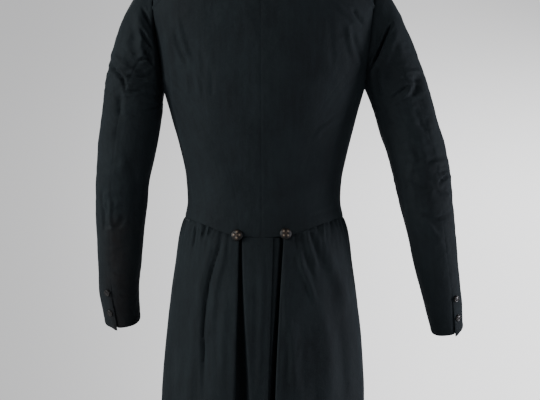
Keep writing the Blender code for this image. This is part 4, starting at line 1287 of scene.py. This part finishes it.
def addNode(tree, kind, links=(), ramp=(), **values):
    # Adds a node. Links give a socket what feeds it or its constant, values set properties or
    # sockets by name, and ramp holds the places and colours of a colour ramp.
    node = tree.nodes.new(kind)
    for key, value in values.items():
        if hasattr(node, key):
            setattr(node, key, value)
        else:
            node.inputs[key].default_value = value
    for socket, source in links:
        if isinstance(source, bpy.types.NodeSocket):
            tree.links.new(source, node.inputs[socket])
        else:
            node.inputs[socket].default_value = source
    for k, (place, colour) in enumerate(ramp):
        elements = node.color_ramp.elements
        element = elements[k] if k < 2 else elements.new(place)
        element.position, element.color = place, colour
    return node


def blank(name):
    material = bpy.data.materials.new(name)
    material.use_nodes = True
    tree = material.node_tree
    return material, tree, tree.nodes["Principled BSDF"]


# The worn tone is partly painted shade: darker than worn cloth alone would be.
clothSettings = {
    "deep": "14181b", "fair": "1b2124", "nap": "262d31", "worn": "191819", "sheenTint": "8fa3b4",
    "blotch": 90.0, "streak": (8.0, 75.0), "fibre": 0.9, "patch": 16.667,
    "twill": 1.1, "twillTurn": 58.0, "pucker": 17.0,
    "roughness": 0.8, "wornRoughness": 0.52, "sheen": 0.06,
}


def woolMaterial():
    # Blue-black milled wool: a matt nap over a fine twill, a little uneven in colour.
    s = clothSettings
    noiseKind, mixKind, rampKind = "ShaderNodeTexNoise", "ShaderNodeMix", "ShaderNodeValToRGB"
    material, tree, shader = blank("wool_broadcloth")
    place = [("Vector", addNode(tree, "ShaderNodeTexCoord").outputs["Object"])]
    cloth = ("Vector", addNode(tree, "ShaderNodeUVMap", uv_map="clothMap").outputs["UV"])
    # Slow patches where the dye has faded or the nap lies another way.
    blotch = addNode(tree, noiseKind, place, Scale=1000 / s["blotch"], Detail=4.0, Roughness=0.6)
    # Long faint streaks where the nap lies along the warp.
    size = (1000 / s["streak"][0], 1000 / s["streak"][1], 1)
    warp = addNode(tree, "ShaderNodeMapping", [cloth, ("Scale", size)])
    links = [("Vector", warp.outputs[0])]
    streak = addNode(tree, noiseKind, links, Scale=1.0, Detail=4.0, Roughness=0.6)
    links = [(2, blotch.outputs["Fac"]), (3, streak.outputs["Fac"]), ("Factor", 0.4)]
    shade = addNode(tree, mixKind, links, data_type="FLOAT")
    tones = [(0.38, toLinear(s["deep"])), (0.62, toLinear(s["fair"]))]
    colour = addNode(tree, rampKind, [("Fac", shade.outputs[0])], tones).outputs["Color"]
    # Fibres, drawn as coarse as they need to show, catch the light more than the ground below.
    fibre = addNode(tree, noiseKind, place, Scale=1000 / s["fibre"], Detail=3.0, Roughness=0.7)
    fibre = fibre.outputs["Fac"]
    tones = [(0.52, (0, 0, 0, 1)), (0.75, (1, 1, 1, 1))]
    lightFibre = addNode(tree, rampKind, [("Fac", fibre)], tones).outputs["Color"]
    links = [("Factor", lightFibre), (6, colour), (7, toLinear(s["nap"]))]
    napped = addNode(tree, mixKind, links, data_type="RGBA").outputs[2]
    # The left forearm has worn to a browner, smoother ground, and its colour is darker than the wear
    # alone, as painted shade on the lower sleeve.
    wearAndShade = addNode(tree, "ShaderNodeAttribute", attribute_name="wearAndShade").outputs["Fac"]
    patchy = addNode(tree, noiseKind, place, Scale=1000 / s["patch"], Detail=3.0, Roughness=0.6)
    links = [(0, wearAndShade), (1, patchy.outputs["Fac"])]
    worn = addNode(tree, "ShaderNodeMath", links, operation="MULTIPLY")
    links = [(0, worn.outputs[0]), (1, 1.5)]
    more = addNode(tree, "ShaderNodeMath", links, operation="MULTIPLY", use_clamp=True)
    links = [("Factor", more.outputs[0]), (6, napped), (7, toLinear(s["worn"]))]
    final = addNode(tree, mixKind, links, data_type="RGBA")
    tree.links.new(final.outputs[2], shader.inputs["Base Color"])
    ends = [("To Min", s["roughness"]), ("To Max", s["wornRoughness"])]
    rough = addNode(tree, "ShaderNodeMapRange", [("Value", more.outputs[0])] + ends)
    tree.links.new(rough.outputs["Result"], shader.inputs["Roughness"])
    # Diagonal twill lines along each panel's own grain, also coarser than the real ones.
    rotation = ("Rotation", (0, 0, math.radians(s["twillTurn"])))
    turn = addNode(tree, "ShaderNodeMapping", [cloth, rotation])
    # The wave's phase is 20 times the scaled length, and a line takes half a wave.
    lines = 1000 / s["twill"] / 20 * math.pi
    links = [("Vector", turn.outputs[0]), ("Detail Scale", 3.0)]
    twill = addNode(tree, "ShaderNodeTexWave", links, Scale=lines, Distortion=2.0)
    links = [(2, twill.outputs["Fac"]), (3, fibre), ("Factor", 0.65)]
    ground = addNode(tree, mixKind, links, data_type="FLOAT")
    # Shallow puckers, which pressing has not flattened, lie below the twill.
    pucker = addNode(tree, noiseKind, place, Scale=1000 / s["pucker"], Detail=3.0, Roughness=0.55)
    links = [("Height", pucker.outputs["Fac"])]
    puckered = addNode(tree, "ShaderNodeBump", links, Strength=0.7, Distance=0.0022)
    links = [("Height", ground.outputs[0]), ("Normal", puckered.outputs["Normal"])]
    bump = addNode(tree, "ShaderNodeBump", links, Strength=0.5, Distance=0.00022)
    tree.links.new(bump.outputs["Normal"], shader.inputs["Normal"])
    shader.inputs["Specular IOR Level"].default_value = 0.12
    shader.inputs["Sheen Weight"].default_value = s["sheen"]
    shader.inputs["Sheen Roughness"].default_value = 0.4
    shader.inputs["Sheen Tint"].default_value = toLinear(s["sheenTint"])
    return material


wool = woolMaterial()
for cloth in pieces.values():
    cloth.piece.data.materials.append(wool)
print("wool made")

ButtonSize = namedtuple("ButtonSize", "radius dome rim shankRadius shank")
buttonSettings = {
    "coat": ButtonSize(10.2, 3.6, 2.2, 3.0, 1.6),
    "cuff": ButtonSize(6.2, 2.0, 1.5, 2.0, 1.0),
    "sides": 72, "rings": 26, "lobe": 0.55, "thread": 0.8, "groove": 0.16, "rimRise": 0.45,
    "well": 0.5, "strand": 0.4, "hornStreak": 3.3333,
    "dark": "0b0908", "mid": "3f3026", "bright": "8d8172", "cuffDark": "0d0c0d", "cuffFair": "241d1a",
}


def buttonFrame(node):
    # Where the node's button sits and which way it faces, from the frame's own solid.
    places = np.array([tuple(v.co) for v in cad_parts[node].data.vertices]) / mm
    middle = places.mean(axis=0)
    normal = np.linalg.svd(places - middle)[2][2]
    size = buttonSettings["cuff" if node.startswith("cuff") else "coat"]
    height = (places - middle) @ normal
    radius = np.linalg.norm((places - middle) - height[:, None] * normal, axis=1)
    wide = height[radius > size.radius * 0.9].mean()
    foot = height[radius < size.shankRadius * 1.1]
    # The shank's foot is flat and the crown is a single point, so the foot has more places.
    if (foot > wide).sum() > (foot < wide).sum():
        normal, height = -normal, -height
    seat = middle + normal * height.min()
    aside = unit(np.cross(normal, (0.0, 0.0, 1.0)))
    return seat, normal, aside, np.cross(aside, normal), size


def turnedMesh(name, rings):
    # A closed turned form from rings of points, ending in single points.
    form = bmesh.new()
    rows = [[form.verts.new(Vector(p) * mm) for p in ring] for ring in rings]
    sideCount = buttonSettings["sides"]
    for lower, upper in zip(rows, rows[1:]):
        for k in range(sideCount):
            after = (k + 1) % sideCount
            if len(lower) == 1:
                form.faces.new((lower[0], upper[k], upper[after]))
            elif len(upper) == 1:
                form.faces.new((lower[k], lower[after], upper[0]))
            else:
                form.faces.new((lower[k], lower[after], upper[after], upper[k]))
    bmesh.ops.recalc_face_normals(form, faces=form.faces[:])
    mesh = bpy.data.meshes.new(name)
    form.to_mesh(mesh)
    form.free()
    mesh.shade_smooth()
    piece = bpy.data.objects.new(name, mesh)
    bpy.context.scene.collection.objects.link(piece)
    return piece


def makeButton(node, turned):
    s = buttonSettings
    seat, normal, aside, upward, size = buttonFrame(node)
    angles = np.radians(np.arange(s["sides"]) * 360 / s["sides"])
    head, crown = size.shank, size.shank + size.rim

    def place(radius, height, a):
        return seat + normal * height + (aside * math.cos(a) + upward * math.sin(a)) * radius

    profile = [
        (size.shankRadius, 0.0), (size.shankRadius, head), (size.radius * 0.86, head),
        (size.radius * 0.95, head + size.rim * 0.12), (size.radius, head + size.rim * 0.45),
        (size.radius * 0.99, crown - 0.5), (size.radius * 0.95, crown - 0.1),
    ]
    covered = node.startswith(("hip", "front"))
    rings = [[seat]] + [[place(radius, height, a) for a in angles] for radius, height in profile]
    threadLightAndShade = [0.0] * (1 + len(profile) * s["sides"])
    for share in np.linspace(0.93, 0.03, s["rings"]):
        ring = []
        for a in angles:
            x, y = share * math.cos(a + turned), share * math.sin(a + turned)
            height = crown + size.dome * (1 - share**2.3)
            shade = 0.0
            if covered:
                # Thread is wound over the mould in four sectors that meet in a cross.
                lobe = abs(math.cos(2 * math.atan2(y, x)))
                across = max(abs(x), abs(y)) * size.radius / s["thread"]
                height += s["lobe"] * (lobe - 0.5) * math.sin(math.pi * share)
                height += s["groove"] * math.cos(2 * math.pi * across)
                # The shade value is painted light: lighter where the lobes stand highest and at the
                # crown, darker in the grooves between turns and round the rim.
                shade = lobe**2 * math.exp(-(((share - 0.5) / 0.22) ** 2))
                shade += 0.5 * math.exp(-((share / 0.22) ** 2))
                shade *= 0.8 + 0.2 * math.cos(2 * math.pi * across)
            else:
                # A polished button with a turned rim and a shallow well.
                height += s["rimRise"] * math.exp(-(((share - 0.8) / 0.08) ** 2))
                height -= s["well"] * ease((0.68 - share) / 0.1)
            ring.append(place(size.radius * share, height, a))
            threadLightAndShade.append(float(shade))
        rings.append(ring)
    top = crown + size.dome - (0 if covered else s["well"])
    rings.append([seat + normal * top])
    threadLightAndShade.append(threadLightAndShade[-1])
    piece = turnedMesh("thread_" + node if covered else "polished_" + node, rings)
    layer = piece.data.attributes.new("shade", "FLOAT", "POINT")
    layer.data.foreach_set("value", threadLightAndShade)
    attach(piece, "root")
    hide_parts(node)
    piece.data.materials.append(threadPaintedLightCover if covered else polished)
    return piece


def threadPaintedLightMaterial():
    # Brown silk thread, painted lighter on the raised lobes and the crown as a highlight, and darker
    # between them and round the rim as shade.
    material, tree, shader = blank("button_silk_thread_painted_light")
    place = [("Vector", addNode(tree, "ShaderNodeTexCoord").outputs["Object"])]
    shade = addNode(tree, "ShaderNodeAttribute", attribute_name="shade").outputs["Fac"]
    spots = ((0.05, "dark"), (0.9, "bright"), (0.45, "mid"))
    tones = [(spot, toLinear(buttonSettings[name])) for spot, name in spots]
    colour = addNode(tree, "ShaderNodeValToRGB", [("Fac", shade)], tones)
    tree.links.new(colour.outputs["Color"], shader.inputs["Base Color"])
    size = 1000 / buttonSettings["strand"]
    strand = addNode(tree, "ShaderNodeTexNoise", place, Scale=size, Detail=2.0)
    links = [("Height", strand.outputs["Fac"])]
    bump = addNode(tree, "ShaderNodeBump", links, Strength=0.4, Distance=0.0002)
    tree.links.new(bump.outputs["Normal"], shader.inputs["Normal"])
    shader.inputs["Roughness"].default_value = 0.5
    shader.inputs["Specular IOR Level"].default_value = 0.3
    return material


def polishedMaterial():
    # Dark polished horn with faint streaks under the gloss.
    material, tree, shader = blank("cuff_button_horn")
    place = [("Vector", addNode(tree, "ShaderNodeTexCoord").outputs["Object"])]
    size = 1000 / buttonSettings["hornStreak"]
    streak = addNode(tree, "ShaderNodeTexNoise", place, Scale=size, Detail=3.0, Distortion=2.0)
    spots = ((0.4, "cuffDark"), (0.8, "cuffFair"))
    tones = [(spot, toLinear(buttonSettings[name])) for spot, name in spots]
    colour = addNode(tree, "ShaderNodeValToRGB", [("Fac", streak.outputs["Fac"])], tones)
    tree.links.new(colour.outputs["Color"], shader.inputs["Base Color"])
    shader.inputs["Roughness"].default_value = 0.3
    shader.inputs["Specular IOR Level"].default_value = 0.3
    shader.inputs["Coat Weight"].default_value = 0.1
    shader.inputs["Coat Roughness"].default_value = 0.1
    return material


threadPaintedLightCover, polished = threadPaintedLightMaterial(), polishedMaterial()
# How far each button's cross is turned about its own axis.
buttonTurns = {
    "hip_button_right": math.radians(45), "front_button_upper": 0.2, "front_button_lower": 0.9,
}
for node in sorted(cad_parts):
    if "button" in node:
        makeButton(node, buttonTurns.get(node, 0.0))
print("buttons made")

for node, cloth in pieces.items():
    area = min(cloth.area, cloth.width * cloth.length)
    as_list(cloth.restsOn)

stageSettings = {
    "floor": -1.42, "floorRadius": 4.5, "floorColour": "d6d6d8", "radius": 16.0, "middle": -0.45,
    "from": 3.4, "to": -2.7, "left": 0.72, "right": 2.3, "low": -0.18, "high": 2.0,
    "highLeft": 0.9, "highRight": 0.24, "sky": 0.18,
}


def makeStage():
    # A pale floor and a round backdrop that glows with painted light, darker to the wearer's left.
    s = stageSettings
    material, tree, shader = blank("backdrop_painted_glow")
    place = addNode(tree, "ShaderNodeTexCoord").outputs["Object"]
    parts = addNode(tree, "ShaderNodeSeparateXYZ", [("Vector", place)])
    across = [("Value", parts.outputs["X"]), ("From Min", s["from"]), ("From Max", s["to"])]
    ends = [("To Min", s["left"]), ("To Max", s["right"])]
    smooth = "SMOOTHSTEP"
    share = addNode(tree, "ShaderNodeMapRange", across + ends, interpolation_type=smooth)
    shader.inputs["Base Color"].default_value = (0, 0, 0, 1)
    shader.inputs["Specular IOR Level"].default_value = 0.0
    shader.inputs["Emission Color"].default_value = (1.0, 1.0, 1.012, 1)
    # Its painted glow falls off a little on its upper part, most of all to the wearer's right.
    ends = [("To Min", s["highLeft"]), ("To Max", s["highRight"])]
    lowered = addNode(tree, "ShaderNodeMapRange", across + ends)
    upward = [("Value", parts.outputs["Z"]), ("From Min", s["low"]), ("From Max", s["high"])]
    ends = [("To Min", 1.0), ("To Max", lowered.outputs["Result"])]
    height = addNode(tree, "ShaderNodeMapRange", upward + ends, interpolation_type=smooth)
    factors = [(0, share.outputs["Result"]), (1, height.outputs["Result"])]
    glow = addNode(tree, "ShaderNodeMath", factors, operation="MULTIPLY")
    # The glow is painted light, standing in for how lamps would fall on the backdrop.
    tree.links.new(glow.outputs[0], shader.inputs["Emission Strength"])
    middle = (0, 0, s["middle"])
    bpy.ops.mesh.primitive_uv_sphere_add(
        segments=64, ring_count=32, radius=s["radius"], location=middle,
    )
    dome = bpy.context.object
    dome.name = "backdrop"
    dome.data.shade_smooth()
    dome.data.materials.append(material)
    # The backdrop is only seen: the lamps and a dim sky light the cloth.
    dome.visible_diffuse = dome.visible_glossy = dome.visible_shadow = False
    world = bpy.data.worlds.new("sky")
    world.use_nodes = True
    background = world.node_tree.nodes["Background"]
    background.inputs["Color"].default_value = (0.94, 0.97, 1.0, 1)
    background.inputs["Strength"].default_value = s["sky"]
    bpy.context.scene.world = world
    paper, tree, shader = blank("floor_paper")
    shader.inputs["Base Color"].default_value = toLinear(s["floorColour"])
    shader.inputs["Roughness"].default_value = 0.9
    low = (0, 0, s["floor"])
    bpy.ops.mesh.primitive_circle_add(
        vertices=64, radius=s["floorRadius"], fill_type="NGON", location=low,
    )
    floor = bpy.context.object
    floor.name = "floor"
    floor.data.materials.append(paper)


def softLight(name, place, aim, size, power, colour):
    # Places, sizes and powers are in metres and watts; each lamp looks at its aim.
    data = bpy.data.lights.new(name, "AREA")
    data.shape = "RECTANGLE"
    data.size, data.size_y = size
    data.energy = power
    data.color = colour
    light = bpy.data.objects.new(name, data)
    bpy.context.scene.collection.objects.link(light)
    light.location = place
    light.rotation_mode = "QUATERNION"
    light.rotation_quaternion = (Vector(aim) - Vector(place)).to_track_quat("-Z", "Y")


def makeLights():
    softLight("key", (3.0, 1.0, 0.6), (0, 0, -0.35), (0.7, 1.4), 84, (0.97, 1.0, 0.99))
    softLight("side", (-3.0, -0.15, -0.5), (0, 0, -0.5), (0.7, 1.2), 72, (0.93, 0.93, 1.0))
    softLight("back", (2.5, 2.2, 0.9), (0, 0, -0.4), (1.0, 1.4), 37, (0.99, 1.0, 1.0))
    softLight("fill", (-2.2, 2.3, -0.1), (0, 0, -0.4), (1.2, 1.6), 14, (0.96, 0.97, 1.0))
    softLight("front", (0.4, -2.8, 0.9), (0, 0, -0.4), (1.8, 1.8), 60, (1, 1, 1))


cameraSettings = {
    "azimuth": 182.3, "distance": 4.2, "across": 0.945, "height": -0.448, "beside": 0.0105,
    "sensor": 36,
}


def makeCamera():
    # Level with the waist, behind the coat, as wide at the coat as the photo is.
    s = cameraSettings
    azimuth = math.radians(s["azimuth"])
    away = Vector((math.sin(azimuth), -math.cos(azimuth), 0))
    beside = (-away).cross(Vector((0, 0, 1)))
    target = Vector((0, 0, s["height"])) + beside * s["beside"]
    data = bpy.data.cameras.new("camera")
    data.sensor_width = s["sensor"]
    data.lens = s["sensor"] * s["distance"] / s["across"]
    camera = bpy.data.objects.new("camera", data)
    bpy.context.scene.collection.objects.link(camera)
    camera.location = target + away * s["distance"]
    camera.rotation_mode = "QUATERNION"
    camera.rotation_quaternion = (-away).to_track_quat("-Z", "Y")
    bpy.context.scene.camera = camera


makeStage()
makeLights()
makeCamera()
print("stage, lights and camera set")
